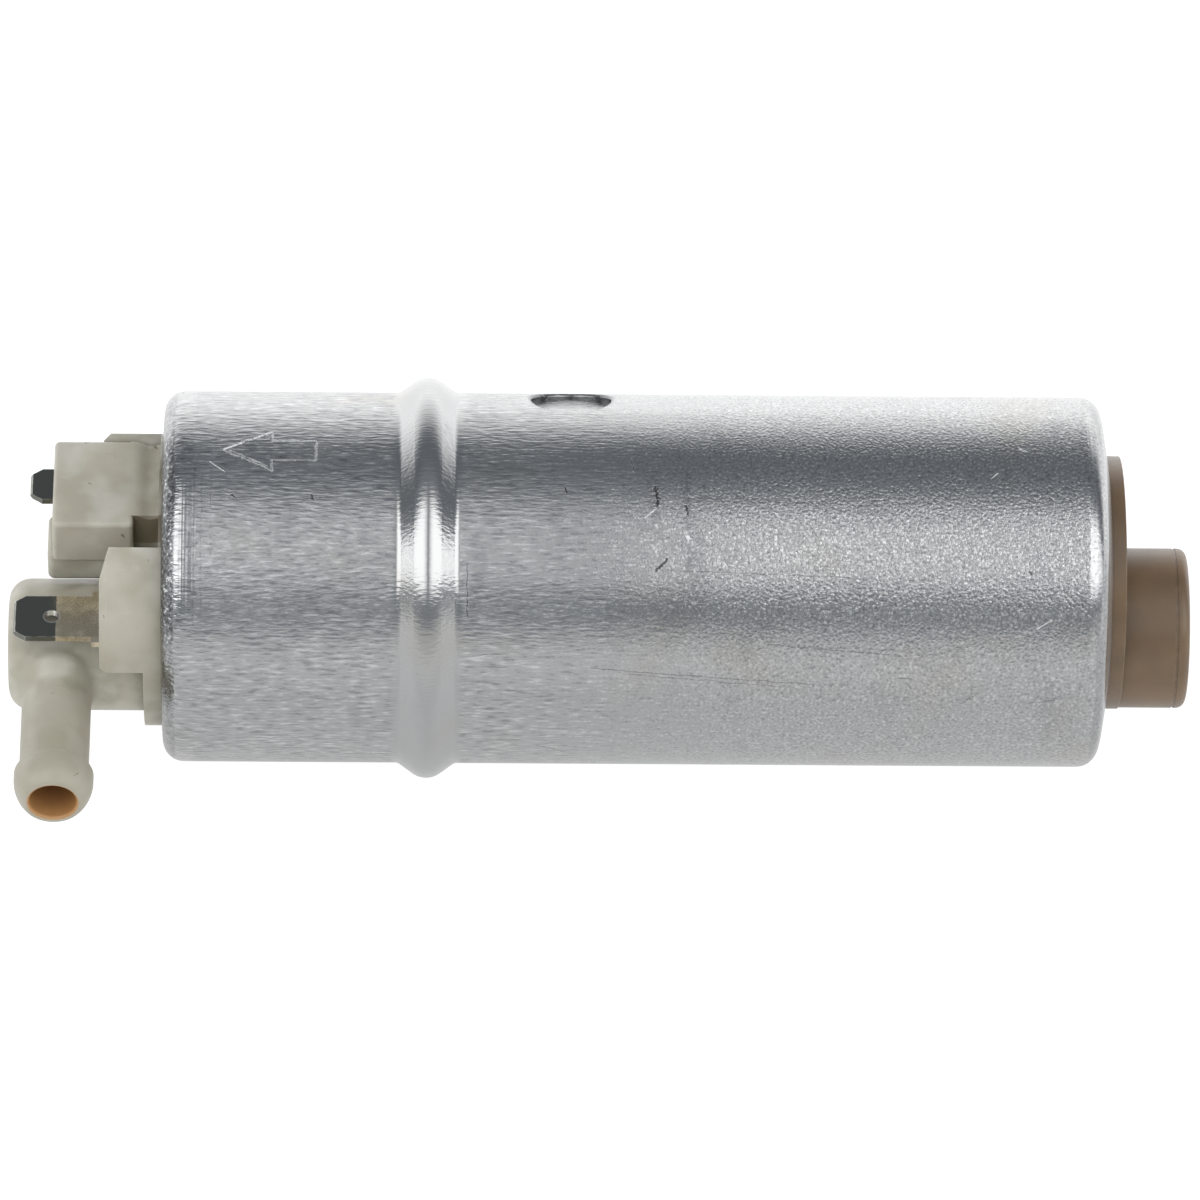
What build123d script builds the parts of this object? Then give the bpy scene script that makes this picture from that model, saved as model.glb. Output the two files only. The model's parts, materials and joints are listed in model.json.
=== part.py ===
from build123d import *
from math import acos, atan2, cos, degrees, hypot, pi, radians, sin, sqrt, tan
import os

# An in-tank electric fuel pump. The pump axis is X: fuel comes in at the +X end and leaves at the -X end.
# The hose nipple points along -Y and the flat sides of the terminal blades face +Z. Sizes are millimetres.

# Steel can
can_r = 21.5
wall = 1.5
can_left = -50.6  # outer face of the lip round the outlet cap
can_right = 58.6  # outer face of the lip round the inlet cover
left_corner = 2.4
right_corner = 2.4
left_hole_r = 17.45
right_hole_r = 14.85
right_lip_slope = 9.5  # degrees that the inlet lip leans outward
bead_x = -20.1
bead_w = 7.2
bead_h = 1.75
bead_crest_r = 2.7
bead_foot_r = 0.9
dimple_x = -3.6
dimple_r = 4.6
dimple_depth = 1.05
dimple_angle = 57.3  # from +Y towards +Z
dimple_round = 0.3
bump_wall = 0.9
arrow_tip = -43.65
arrow_head = 5.7
arrow_shaft = 5.0
arrow_head_w = 6.1
arrow_shaft_w = 3.0
arrow_line = 0.34
arrow_depth = 0.12

# Clearances
can_fit = 0.08  # between the can and what slides into it
slide_fit = 0.08  # beside a brush
turn_fit = 0.03  # round a shaft
side_fit = 0.03  # each side of the gear-ring set
tooth_fit = 0.04
ring_fit = 0.05  # round the outer rotor
shaft_room = 0.3  # round the shaft where nothing carries it
thrust_gap = 0.1  # end play at each thrust washer
past = 1.0  # how far a cutting tool runs past the face that it cuts
join = 0.2  # how far a feature reaches into what it grows from

# Pump stage
cover_rim_t = 5.3
ring_t = 6.0
plate_t = 5.5
plate_rim = 4.5
rim_wall = 1.5
rotor_offset = 1.1
rotor_axis_angle = 127.0  # direction from the pump axis to the outer rotor's axis
inner_lobes = 6
lobe_points = 16
tooth_centre_r = 10.0
tooth_r = 2.6
outer_rotor_r = 12.4
port_r = 8.0
port_w = 3.0
port_span = 110.0
pin_r = 1.5
pin_wall = 0.15  # from a pin hole to the sealing groove
pin_depth = 2.2
pin_gap = 0.2  # from a pin's end to the bottom of its hole
drive_room = 0.6  # past the shaft's end

# Inlet cover
boss_fit = 0.15  # between the boss and the lip's hole
boss_proud = 1.65
boss_edge = 0.1
boss_seat = 1.0  # how far the spigot is sunk into the boss
spigot_r = 9.27
spigot_l = 7.75
spigot_y = -4.22
spigot_z = -3.2
spigot_round = 1.0
spigot_line = 1.6  # from the end to the faint ring line
line_w = 0.3
line_depth = 0.1
suction_r = 7.5
suction_floor = 3.0

# Sealing rings
seal_r = 0.95
seal_fit = 0.025  # each side of a rubber ring
seal_groove_w = 2.1
seal_land = 1.4  # from the groove to the inner end of a cover

# Outlet cap
cap_flange = 7.0
floor_proud = 0.4
step_proud = 2.1
collar_proud = 7.1
collar_r = 17.35
collar_wall = 2.0
back_wall_r = 16.5
collar_from = 121.9
collar_to = 172.7
step_to = 330.0
back_from = -12.0
back_to = 46.0
pedestal_r = 13.6
collar_bevel = 0.8
collar_slant = 1.1  # how much shorter the collar's upper end is at its rim
collar_slant_l = 3.6  # how far along X that slant runs
latch_y0 = -3.0
latch_y1 = 10.4
latch_z0 = 5.45
latch_z1 = 11.9
latch_proud = 12.75
neck_len = 3.35
neck_low = 1.5  # how far the latch block overhangs its neck towards -Y
neck_high = 0.2
neck_step = 0.4
neck_sag = 0.7  # how far the neck dips below the latch block's top
neck_sag_l = 1.3  # from the cap's floor to that lowest place
well_z = 3.0  # bottom of the well between the neck and the collar
edge_round = 0.6
relief_y0 = -2.5
relief_y1 = 3.9
relief_z0 = 1.7
relief_z1 = 6.4
relief_proud = 13.4
relief_round = 0.8
tower_r = 7.62
tower_y = -6.1
tower_z = -5.2
tower_proud = 17.9
tower_round = 2.5
tower_bore_r = 5.4
tower_end_wall = 1.6
nipple_back = 5.7  # from the tower's end to the nipple's axis
nipple_root_r = 5.4
nipple_root_l = 6.4
nipple_neck_l = 8.8
nipple_root_round = 2.0
nipple_foot_round = 1.4  # where the root grows out of the tower
nipple_r = 4.0
barb_r = 4.58
barb_l = 20.3
barb_land = 0.8
barb_belly = 0.35  # how far the barb's nose bulges past a straight cone
nipple_l = 24.5
nipple_tip_r = 3.4
nipple_bore_r = 2.7
mouth_round = 0.4

# Terminals
blade_t = 0.8
blade_z = 3.92
blade_place_y = 10.43
positive_w = 6.3
negative_w = 4.8
positive_reach = 17.1  # tip beyond the can's lip
negative_reach = 15.75
tail_w = 4.0
shoulder_w = 8.0
shoulder_proud = 8.1
shoulder_l = 1.2
tip_chamfer = 1.0
tip_taper = 1.4  # the length of that chamfer along the blade
tip_bevel = 0.25
blade_hole_r = 0.9
blade_hole_back = 4.4
strap_w = 3.0

# Brushes and what feeds them
holder_t = 15.4
brush_place = 9.6
brush_w = 6.4
brush_t = 5.6
brush_l = 9.0
brush_edge = 0.4
brush_spring_r = 2.2
brush_wire_r = 0.25
brush_turns = 7
lead_r = 0.45
lead_rise = 2.5  # from the brush's middle to its lead, away from the commutator
lead_stand = 3.5  # how far the lead stands straight out of the brush
lead_tail = 0.84
lead_bow = 0.6
lead_bend = 1.2
lead_room = 1.2
choke_y = 7.5
choke_z = 12.5
choke_core_r = 1.4
choke_core_l = 11.0
choke_wire_r = 0.35
choke_turns = 8
choke_room = 0.5
pocket_past = 1.0  # past the choke's end
chamber_deep = 2.0
chamber_wall = 0.8
passage_r = 3.2
passage_drop = 2.4

# Armature
comm_gap = 2.0  # from the brush holder to the commutator
comm_r = 12.6
comm_in_r = 5.2
comm_face_t = 2.5
comm_hub_t = 4.0
comm_slots = 8
comm_slot = 0.6
comm_recess = 0.3
lam_l = 34.0
lam_r = 13.9
lam_root_r = 6.5
tooth_stem = 3.6
tooth_tip_t = 1.7
slot_mouth = 2.0
insulator_t = 0.6
winding_r = 11.9
winding_gap = 1.0
winding_tail = 6.0
winding_in_r = 5.2
winding_round = 1.5
shaft_r = 3.0
journal_r = 2.0
journal_l = 9.5  # from the holder's motor side to the journal's end
bearing_hole = 11.5  # depth of the hole for the upper bush
journal_step = 1.0
drive_flat = 2.3
drive_past = 0.5
shaft_chamfer = 0.4
sleeve_r = 4.8
sleeve_room = 0.3
washer_t = 0.5
washer_r = 4.6
upper_bush_r = 4.0
upper_bush_l = 7.0
lower_bush_r = 5.0
lower_bush_proud = 2.0
lower_bush_l = 7.0

# Magnets
magnet_l = 46.0
magnet_in_r = 14.5
magnet_span = 140.0
magnet_edge = 1.0
clip_t = 0.6
clip_l = 20.0
clip_leg = 3.4
clip_back = 5.0  # from the dimple to a clip
clip_fit = 0.05

# Check valve, in the tower
seat_l = 3.0
seat_proud = 0.4
seat_hole_r = 2.6
check_seal_t = 0.8
check_seal_r = 4.1
check_head_t = 1.2
check_head_r = 4.4
check_stem_r = 1.5
check_stem_l = 9.5
check_stem_edge = 0.3
check_nose_r = 1.2
check_nose_l = 1.3
check_guide_r = 2.4
check_guide_l = 8.0
check_spring_r = 3.5
check_wire_r = 0.25
check_turns = 6

# Relief valve, in the boss under the latch block
relief_y = 0.75
relief_z = 4.9
relief_bore_r = 2.0
relief_seat_l = 2.0
relief_seat_x = 1.7  # from the can's lip to the seat's face
relief_hole_r = 1.0
relief_ball_r = 1.55
relief_stop_l = 1.5
relief_stop_hole_r = 0.7
relief_stop_back = 2.4
relief_spring_r = 1.3
relief_wire_r = 0.2
relief_turns = 6
relief_vent_r = 0.8
relief_vent_z = 4.0

# Stations along X, from the two lips inward
bore_r = can_r - wall
body_r = bore_r - can_fit
slope = tan(radians(right_lip_slope))
lip_lean = 1 / cos(radians(right_lip_slope))


def lip_x(r, inset):
    """Where the leaning inlet lip is at a radius, or the face that lies inset under it."""
    return can_right - slope * (r - right_hole_r) - inset * lip_lean


cover_face = lip_x(bore_r, wall) - cover_rim_t
plate_face = cover_face - ring_t
plate_back = plate_face - plate_t
magnet_right = plate_back - plate_rim
magnet_left = magnet_right - magnet_l
lam_left = (magnet_left + magnet_right - lam_l) / 2
lam_right = lam_left + lam_l
cap_shoulder = can_left + wall
cap_inner = cap_shoulder + cap_flange
holder_face = cap_inner + holder_t
comm_face = holder_face + comm_gap
comm_back = comm_face + comm_face_t + comm_hub_t
boss_end = can_right + boss_proud
spigot_end = boss_end + spigot_l
step_face = can_left - step_proud
collar_end = can_left - collar_proud
tower_end = can_left - tower_proud
nipple_x = tower_end + nipple_back


def station(x, y=0.0, z=0.0):
    """A drawing plane square to the pump axis, whose drawing axes are Y and Z."""
    return Plane(origin=(x, y, z), x_dir=(0, 1, 0), z_dir=(1, 0, 0))


def along(sketch, x0, x1, y=0.0, z=0.0):
    """A sketch drawn in Y and Z, carried along X from x0 to x1."""
    return extrude(station(min(x0, x1), y, z) * sketch, abs(x1 - x0))


def rod(r, x0, x1, y=0.0, z=0.0):
    return along(Circle(r), x0, x1, y, z)


def tube(r_out, r_in, x0, x1, y=0.0, z=0.0):
    return along(Circle(r_out) - Circle(r_in), x0, x1, y, z)


def block(x0, x1, y0, y1, z0, z1):
    return Pos((x0 + x1) / 2, (y0 + y1) / 2, (z0 + z1) / 2) * Box(x1 - x0, y1 - y0, z1 - z0)


def sector(r_in, r_out, start, end):
    """A piece of a ring between two angles, drawn in Y and Z, with angles from +Y towards +Z."""
    outer = CenterArc((0, 0), r_out, start, end - start)
    inner = CenterArc((0, 0), r_in, start, end - start)
    return make_face([outer, inner, Line(outer @ 0, inner @ 0), Line(outer @ 1, inner @ 1)])


def kidney(r, w, middle, span):
    """A curved slot with round ends."""
    ends = [middle - span / 2, middle + span / 2]
    slot = sector(r - w / 2, r + w / 2, *ends)
    for a in ends:
        slot += Pos(r * cos(radians(a)), r * sin(radians(a))) * Circle(w / 2)
    return slot


def spring(mean_r, wire_r, x0, x1, turns, y=0.0, z=0.0):
    """A helical spring or coil of round wire, from end to end of its wire."""
    lead = x1 - x0 - 2 * wire_r
    path = station(x0 + wire_r, y, z) * Helix(lead / turns, lead, mean_r)
    section = Plane(origin=path @ 0, z_dir=path % 0) * Circle(wire_r)
    return sweep(section, path=path, is_frenet=True)


def bead_profile(inset):
    """The bead's crest arc, straight flanks and foot arcs, down to the can's wall, in X and radius."""
    crest_r, foot_r = bead_crest_r - inset, bead_foot_r + inset
    half_w, base = bead_w / 2, can_r - inset
    top = base + bead_h
    both = crest_r + foot_r
    flank = atan2(half_w, both - bead_h) - acos(both / hypot(half_w, both - bead_h))
    crest_end = (crest_r * sin(flank), top - crest_r * (1 - cos(flank)))
    foot_end = (half_w - foot_r * sin(flank), base + foot_r * (1 - cos(flank)))
    foot_mid = (half_w - foot_r * sin(flank / 2), base + foot_r * (1 - cos(flank / 2)))
    right = [ThreePointArc((half_w, base), foot_mid, foot_end), Line(foot_end, crest_end)]
    left = [line.mirror(Plane.YZ) for line in right]
    crest = ThreePointArc(crest_end, (0, top), (-crest_end[0], crest_end[1]))
    deep = base - join
    floor = Polyline((-half_w, base), (-half_w, deep), (half_w, deep), (half_w, base))
    return Pos(bead_x, 0) * make_face([*right, crest, *left, floor])


def flow_arrow():
    """The outline of an arrow that points to the outlet, drawn in X and Y."""
    head = arrow_tip + arrow_head
    tail = head + arrow_shaft
    w, s = arrow_head_w / 2, arrow_shaft_w / 2
    upper = [(head, w), (head, s), (tail, s)]
    lower = [(x, -y) for x, y in reversed(upper)]
    arrow = make_face(Polyline((arrow_tip, 0), *upper, *lower, (arrow_tip, 0)))
    return arrow - offset(arrow, -arrow_line, kind=Kind.INTERSECTION)


def radial(solid, angle):
    """Turns a solid that was made along +Z to an angle from +Y towards +Z."""
    return Rot(angle - 90, 0, 0) * solid


def is_dimple_rim(edge, floor_r):
    middle = edge.center(CenterOf.BOUNDING_BOX)
    return abs(middle.X - dimple_x) < dimple_round and hypot(middle.Y, middle.Z) > floor_r + dimple_round / 2


def make_can():
    corner_out = (lip_x(can_r, 0), can_r)
    corner_in = (lip_x(bore_r, wall), bore_r)
    outer = make_face(
        Polyline(
            (can_left, 0), (can_left, can_r), corner_out, (lip_x(right_hole_r, 0), right_hole_r),
            (lip_x(right_hole_r, 0), 0), (can_left, 0),
        )
    )
    outer = fillet(outer.vertices().sort_by_distance((can_left, can_r, 0))[0], left_corner)
    outer = fillet(outer.vertices().sort_by_distance((*corner_out, 0))[0], right_corner)
    inner = make_face(
        Polyline(
            (cap_shoulder, 0), (cap_shoulder, bore_r), corner_in, (lip_x(right_hole_r, wall), right_hole_r),
            (lip_x(right_hole_r, wall), 0), (cap_shoulder, 0),
        )
    )
    inner = fillet(inner.vertices().sort_by_distance((cap_shoulder, bore_r, 0))[0], left_corner - wall)
    inner = fillet(inner.vertices().sort_by_distance((*corner_in, 0))[0], right_corner - wall)
    can = revolve(outer + bead_profile(0), Axis.X) - revolve(inner + bead_profile(wall), Axis.X)
    can -= rod(left_hole_r, can_left - past, cap_shoulder + past)
    can -= rod(right_hole_r, can_right - 2 * wall, can_right + past)
    floor_r = can_r - dimple_depth
    upright = (Align.CENTER, Align.CENTER, Align.MIN)
    bump = Pos(dimple_x, 0, floor_r - wall) * Cylinder(dimple_r + bump_wall, wall, align=upright)
    hollow = Pos(dimple_x, 0, floor_r) * Cylinder(dimple_r, can_r, align=upright)
    can += radial(bump, dimple_angle)
    can -= radial(hollow, dimple_angle)
    rims = can.edges().filter_by(lambda e: is_dimple_rim(e, floor_r))
    can = fillet(rims, dimple_round)
    arrow = extrude(flow_arrow(), can_r + past) - rod(can_r - arrow_depth, can_left, can_right)
    return can - arrow


def seal_groove(inner_end, towards):
    """The X span of a sealing groove that lies seal_land in from a cover's inner end."""
    near = inner_end + towards * seal_land
    return sorted([near, near + towards * seal_groove_w])


def groove_floor():
    return bore_r - 2 * (seal_r + seal_fit)


def make_seal(inner_end, towards):
    x0, x1 = seal_groove(inner_end, towards)
    return station((x0 + x1) / 2) * Torus((bore_r + groove_floor()) / 2, seal_r)


def cover_port(angle, x0, x1):
    return along(kidney(port_r, port_w, angle, port_span), x0, x1)


def pin_holes(x0, x1):
    holes = Part()
    place_r = groove_floor() - pin_wall - pin_r
    for a in (rotor_axis_angle - 90, rotor_axis_angle + 90):
        y, z = place_r * cos(radians(a)), place_r * sin(radians(a))
        holes += rod(pin_r, x0, x1, y, z)
    return holes


def make_inlet_cover():
    corner = (lip_x(body_r, wall), body_r)
    boss_r = right_hole_r - boss_fit
    profile = make_face(
        Polyline(
            (cover_face, 0), (cover_face, body_r), corner, (lip_x(boss_r, wall), boss_r), (boss_end, boss_r),
            (boss_end, 0), (cover_face, 0),
        )
    )
    profile = fillet(profile.vertices().sort_by_distance((*corner, 0))[0], right_corner - wall + can_fit)
    cover = revolve(profile, Axis.X)
    edge = cover.edges().filter_by(GeomType.CIRCLE).sort_by(Axis.X)[-1]
    cover = fillet(edge, boss_edge)
    spigot = rod(spigot_r, boss_end - boss_seat, spigot_end)
    spigot = fillet(spigot.edges().filter_by(GeomType.CIRCLE).sort_by(Axis.X)[-1], spigot_round)
    line_x = spigot_end - spigot_line
    spigot -= tube(spigot_r + past, spigot_r - line_depth, line_x, line_x + line_w)
    cover += Pos(0, spigot_y, spigot_z) * spigot
    cover -= rod(suction_r, cover_face + suction_floor, spigot_end + past, spigot_y, spigot_z)
    cover -= cover_port(rotor_axis_angle + 90, cover_face - past, cover_face + suction_floor + past)
    x0, x1 = seal_groove(cover_face, 1)
    cover -= tube(bore_r + past, groove_floor(), x0, x1)
    cover -= rod(shaft_r + shaft_room, cover_face - past, cover_face + drive_past + drive_room)
    return cover - pin_holes(cover_face - past, cover_face + pin_depth)


def rotor_axis():
    """Y and Z of the outer rotor's axis."""
    a = radians(rotor_axis_angle)
    return rotor_offset * cos(a), rotor_offset * sin(a)


def make_pump_ring():
    bore = rod(outer_rotor_r + ring_fit, plate_face - past, cover_face + past, *rotor_axis())
    return rod(body_r, plate_face, cover_face) - bore - pin_holes(plate_face - past, cover_face + past)


def make_middle_plate():
    plate = rod(body_r, plate_back, plate_face) + tube(body_r, body_r - rim_wall, magnet_right, plate_back)
    plate -= cover_port(rotor_axis_angle - 90, plate_back - past, plate_face + past)
    bush_end = plate_back - lower_bush_proud + lower_bush_l
    plate -= rod(lower_bush_r, plate_back - past, bush_end)
    plate -= rod(shaft_r + shaft_room, plate_back, plate_face + past)
    return plate - pin_holes(plate_face - pin_depth, plate_face + past)


def make_inner_rotor():
    """Equidistant of an epitrochoid: the path of a tooth's centre, stepped in by the tooth's radius."""
    teeth = inner_lobes + 1
    points = []
    steps = lobe_points * inner_lobes
    for k in range(steps):
        a = 2 * pi * k / steps
        x = tooth_centre_r * cos(a) + rotor_offset * cos(teeth * a)
        y = tooth_centre_r * sin(a) + rotor_offset * sin(teeth * a)
        nx = tooth_centre_r * cos(a) + teeth * rotor_offset * cos(teeth * a)
        ny = tooth_centre_r * sin(a) + teeth * rotor_offset * sin(teeth * a)
        n = hypot(nx, ny)
        points.append((x - tooth_r * nx / n, y - tooth_r * ny / n))
    lobes = make_face(Spline(*points, periodic=True))
    lobes = Rot(0, 0, rotor_axis_angle) * lobes
    keyhole = Circle(shaft_r + turn_fit) & Rectangle(4 * shaft_r, 2 * (drive_flat + turn_fit))
    return along(lobes - keyhole, plate_face + side_fit, cover_face - side_fit)


def make_outer_rotor():
    root_r = tooth_centre_r - tooth_r + 2 * rotor_offset + 2 * tooth_fit
    ring = Circle(outer_rotor_r) - Circle(root_r)
    teeth = inner_lobes + 1
    for k in range(teeth):
        a = radians(rotor_axis_angle + 360 * k / teeth)
        ring += Pos(tooth_centre_r * cos(a), tooth_centre_r * sin(a)) * Circle(tooth_r - tooth_fit)
    return along(ring & Circle(outer_rotor_r), plate_face + side_fit, cover_face - side_fit, *rotor_axis())


def make_dowel_pins():
    reach = pin_depth - pin_gap
    return pin_holes(plate_face - reach, cover_face + reach)


def make_terminal(side, width, reach):
    """A blade with a shoulder, a tail through the cap and a strap to the choke coil, on one side, -1 or 1."""
    tip = can_left - reach
    shoulder = can_left - shoulder_proud
    foot = shoulder + shoulder_l
    y = side * blade_place_y
    half = width / 2
    upper = [
        (tip, half - tip_chamfer), (tip + tip_taper, half), (shoulder, half), (shoulder, shoulder_w / 2),
        (foot, shoulder_w / 2), (foot, tail_w / 2), (cap_inner, tail_w / 2),
    ]
    lower = [(px, -py) for px, py in reversed(upper)]
    blade = make_face(Polyline(*upper, *lower, upper[0]))
    blade -= Pos(tip + blade_hole_back, 0) * Circle(blade_hole_r)
    plate = extrude(Plane.XY.offset(blade_z - blade_t / 2) * blade, blade_t)
    nose = plate.edges().filter_by(Axis.Y).group_by(Axis.X)[0]
    plate = chamfer(nose, tip_bevel)
    run_y, run_z = side * choke_y - y, choke_z - blade_z
    angle = degrees(atan2(run_z, run_y))
    strap = Rot(0, 0, angle) * SlotCenterToCenter(hypot(run_y, run_z), strap_w)
    strap = Pos(y + run_y / 2, blade_z + run_z / 2) * strap
    return Pos(0, y, 0) * plate + along(strap, cap_inner - blade_t, cap_inner)


def nipple_axis():
    """The plane at the tower's axis whose normal runs out along the nipple."""
    return Plane(origin=(nipple_x, tower_y, tower_z), x_dir=(1, 0, 0), z_dir=(0, -1, 0))


def make_nipple():
    nose = ThreePointArc(
        (barb_r, barb_l + barb_land),
        ((barb_r + nipple_tip_r) / 2 + barb_belly, (barb_l + barb_land + nipple_l) / 2),
        (nipple_tip_r, nipple_l),
    )
    side = Polyline(
        (nipple_tip_r, nipple_l), (0, nipple_l), (0, 0), (nipple_root_r, 0), (nipple_root_r, nipple_root_l),
        (nipple_r, nipple_neck_l), (nipple_r, barb_l), (barb_r, barb_l), (barb_r, barb_l + barb_land),
    )
    profile = make_face([nose, side])
    for corner in ((nipple_root_r, nipple_root_l, 0), (nipple_r, nipple_neck_l, 0)):
        profile = fillet(profile.vertices().sort_by_distance(corner)[0], nipple_root_round)
    nipple = revolve(Plane.XZ * profile, Axis.Z)
    rims = nipple.edges().filter_by(GeomType.CIRCLE).group_by(Axis.Z)
    nipple = fillet(rims[-1], mouth_round)
    return nipple_axis() * nipple


def make_tower():
    """The check valve's housing with the hose nipple on its side, rounded where they meet."""
    tower = rod(tower_r, tower_end, can_left - floor_proud, tower_y, tower_z)
    tower = fillet(tower.edges().filter_by(GeomType.CIRCLE).sort_by(Axis.X)[0], tower_round)
    nipple = make_nipple()
    seams = (tower + nipple).edges() - tower.edges() - nipple.edges()
    return fillet(seams, nipple_foot_round)


def make_neck(x0, x1, y0, y1):
    """The bridge from the latch block to the cap's floor, whose top dips in a soft trough."""
    top = Spline(
        (x0, latch_z1), (x1 - neck_sag_l, latch_z1 - neck_sag), (x1, latch_z1 - neck_step),
        tangents=[(1, 0), (1, 0.5)],
    )
    rest = Polyline((x1, latch_z1 - neck_step), (x1, latch_z0), (x0, latch_z0), (x0, latch_z1))
    return extrude(Plane((0, y0, 0), x_dir=(1, 0, 0), z_dir=(0, -1, 0)) * make_face([top, rest]), y0 - y1)


def make_outlet_cap():
    cap = rod(body_r, cap_shoulder, cap_inner)
    cap = fillet(cap.edges().filter_by(GeomType.CIRCLE).sort_by(Axis.X)[0], left_corner - wall + can_fit)
    floor = can_left - floor_proud
    base = Circle(back_wall_r) + sector(pedestal_r, collar_r, collar_from, step_to)
    cap += along(base, floor, cap_shoulder)
    neck_y0, neck_y1 = latch_y0 + neck_low, latch_y1 - neck_high
    well = block(step_face, floor, -pedestal_r, neck_y0, well_z, pedestal_r)
    well += block(step_face, floor, neck_y0, neck_y1, latch_z0, pedestal_r)  # room for the neck
    cap += rod(pedestal_r, step_face, floor) - well
    cap += along(sector(pedestal_r - join, collar_r, collar_to, step_to), step_face, floor)
    collar = along(sector(collar_r - collar_wall, collar_r, collar_from, collar_to), collar_end, floor)
    end_face = collar.faces().sort_by(lambda f: f.center().Z)[-1]
    collar = chamfer(end_face.edges().sort_by(Axis.X)[0], collar_slant, collar_slant_l, reference=end_face)
    rim = collar.edges().filter_by(GeomType.CIRCLE).group_by(Axis.X)[0].sort_by(SortBy.RADIUS)[-1]
    collar = chamfer(rim, collar_bevel)
    cap += collar
    back = along(sector(back_wall_r - collar_wall, back_wall_r, back_from, back_to), collar_end, floor)
    rim = back.edges().filter_by(GeomType.CIRCLE).group_by(Axis.X)[0].sort_by(SortBy.RADIUS)[-1]
    cap += chamfer(rim, collar_bevel)
    neck_end = can_left - neck_len
    latch = block(can_left - latch_proud, neck_end, latch_y0, latch_y1, latch_z0, latch_z1)
    latch = fillet(latch.edges(), edge_round)
    neck = make_neck(neck_end - edge_round, floor, neck_y0, neck_y1)
    boss = block(can_left - relief_proud, floor, relief_y0, relief_y1, relief_z0, relief_z1)
    boss = fillet(boss.edges().filter_by(Axis.X) + boss.faces().sort_by(Axis.X)[0].edges(), relief_round)
    cap += [latch, neck, boss, make_tower()]
    bore_end = tower_end + tower_end_wall
    bore = rod(tower_bore_r, bore_end, cap_inner + past, tower_y, tower_z)
    guide_end = bore_end + check_guide_l
    guide = tube(check_guide_r, check_stem_r + slide_fit, bore_end, guide_end, tower_y, tower_z)
    cap -= bore
    cap += guide
    way = Cylinder(nipple_bore_r, nipple_l - tower_bore_r + 2 * past)
    cap -= nipple_axis() * Pos(0, 0, (tower_bore_r + nipple_l) / 2) * way
    mouth = cap.edges().filter_by(GeomType.CIRCLE).sort_by(Axis.Y)[0]
    cap = fillet(mouth, mouth_round)
    relief_end = can_left - relief_proud + relief_stop_back
    cap -= rod(relief_bore_r, relief_end, cap_inner + past, relief_y, relief_z)
    cap -= rod(relief_vent_r, can_left - relief_proud - past, relief_end + past, relief_y, relief_vent_z)
    x0, x1 = seal_groove(cap_inner, -1)
    cap -= tube(bore_r + past, groove_floor(), x0, x1)
    return cap - make_terminal(-1, positive_w, positive_reach) - make_terminal(1, negative_w, negative_reach)


def make_brush_holder():
    holder = rod(body_r, cap_inner, holder_face) + tube(body_r, body_r - rim_wall, holder_face, magnet_left)
    holder -= rod(upper_bush_r, holder_face - bearing_hole, holder_face + past)
    room_w, room_t = brush_w / 2 + slide_fit, brush_t / 2 + slide_fit
    pocket_r = choke_core_r + 2 * choke_wire_r + choke_room
    pocket_end = cap_inner + choke_core_l + pocket_past
    for side in (-1, 1):
        y = side * brush_place
        holder -= block(cap_inner - past, holder_face + past, y - room_w, y + room_w, -room_t, room_t)
        holder -= rod(pocket_r, cap_inner - past, pocket_end, side * choke_y, choke_z)
        y0, y1 = sorted([side * (choke_y - lead_room), side * (brush_place + lead_room)])
        holder -= block(cap_inner - past, pocket_end, y0, y1, 0, choke_z)
        holder -= rod(passage_r, cap_inner - past, holder_face + past, side * tower_y, tower_z - passage_drop)
    y0, y1 = -brush_place + room_w + chamber_wall, relief_y + relief_bore_r
    z0, z1 = tower_z - tower_bore_r, relief_z + relief_bore_r
    return holder - block(cap_inner - past, cap_inner + chamber_deep, y0, y1, z0, z1)


def make_brush(side):
    brush = block(comm_face - brush_l, comm_face, -brush_w / 2, brush_w / 2, -brush_t / 2, brush_t / 2)
    edges = brush.edges().filter_by(Axis.X)
    return Pos(0, side * brush_place, 0) * chamfer(edges, brush_edge)


def make_brush_spring(side):
    y = side * brush_place
    return spring(brush_spring_r, brush_wire_r, cap_inner, comm_face - brush_l, brush_turns, y)


def make_brush_lead(side):
    x_brush = comm_face - brush_l / 2 - lead_rise
    x_choke = cap_inner + choke_core_l
    top = brush_t / 2
    foot = choke_z - choke_core_r - 2 * choke_wire_r - 2 * turn_fit
    path = FilletPolyline(
        (x_brush, side * brush_place, top),
        (x_brush, side * brush_place, top + lead_stand),
        (x_choke, side * (choke_y + lead_bow), foot - lead_tail),
        (x_choke, side * choke_y, foot),
        radius=lead_bend,
    )
    return sweep(Plane(origin=path @ 0, z_dir=path % 0) * Circle(lead_r), path=path)


def make_choke_coil(side):
    mean_r = choke_core_r + choke_wire_r + turn_fit
    end = cap_inner + choke_core_l
    return spring(mean_r, choke_wire_r, cap_inner, end, choke_turns, side * choke_y, choke_z)


def make_choke_core(side):
    return rod(choke_core_r, cap_inner, cap_inner + choke_core_l, side * choke_y, choke_z)


def make_commutator_segments():
    ring = Circle(comm_r) - Circle(comm_in_r)
    for k in range(comm_slots // 2):
        ring -= Rot(0, 0, 180 * (k + 0.5) * 2 / comm_slots) * Rectangle(4 * comm_r, comm_slot)
    return along(ring, comm_face, comm_face + comm_face_t)


def make_commutator_hub():
    hub = tube(comm_r, shaft_r, comm_face + comm_face_t, comm_back)
    return hub + tube(comm_in_r, shaft_r, comm_face + comm_recess, comm_face + comm_face_t)


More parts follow.
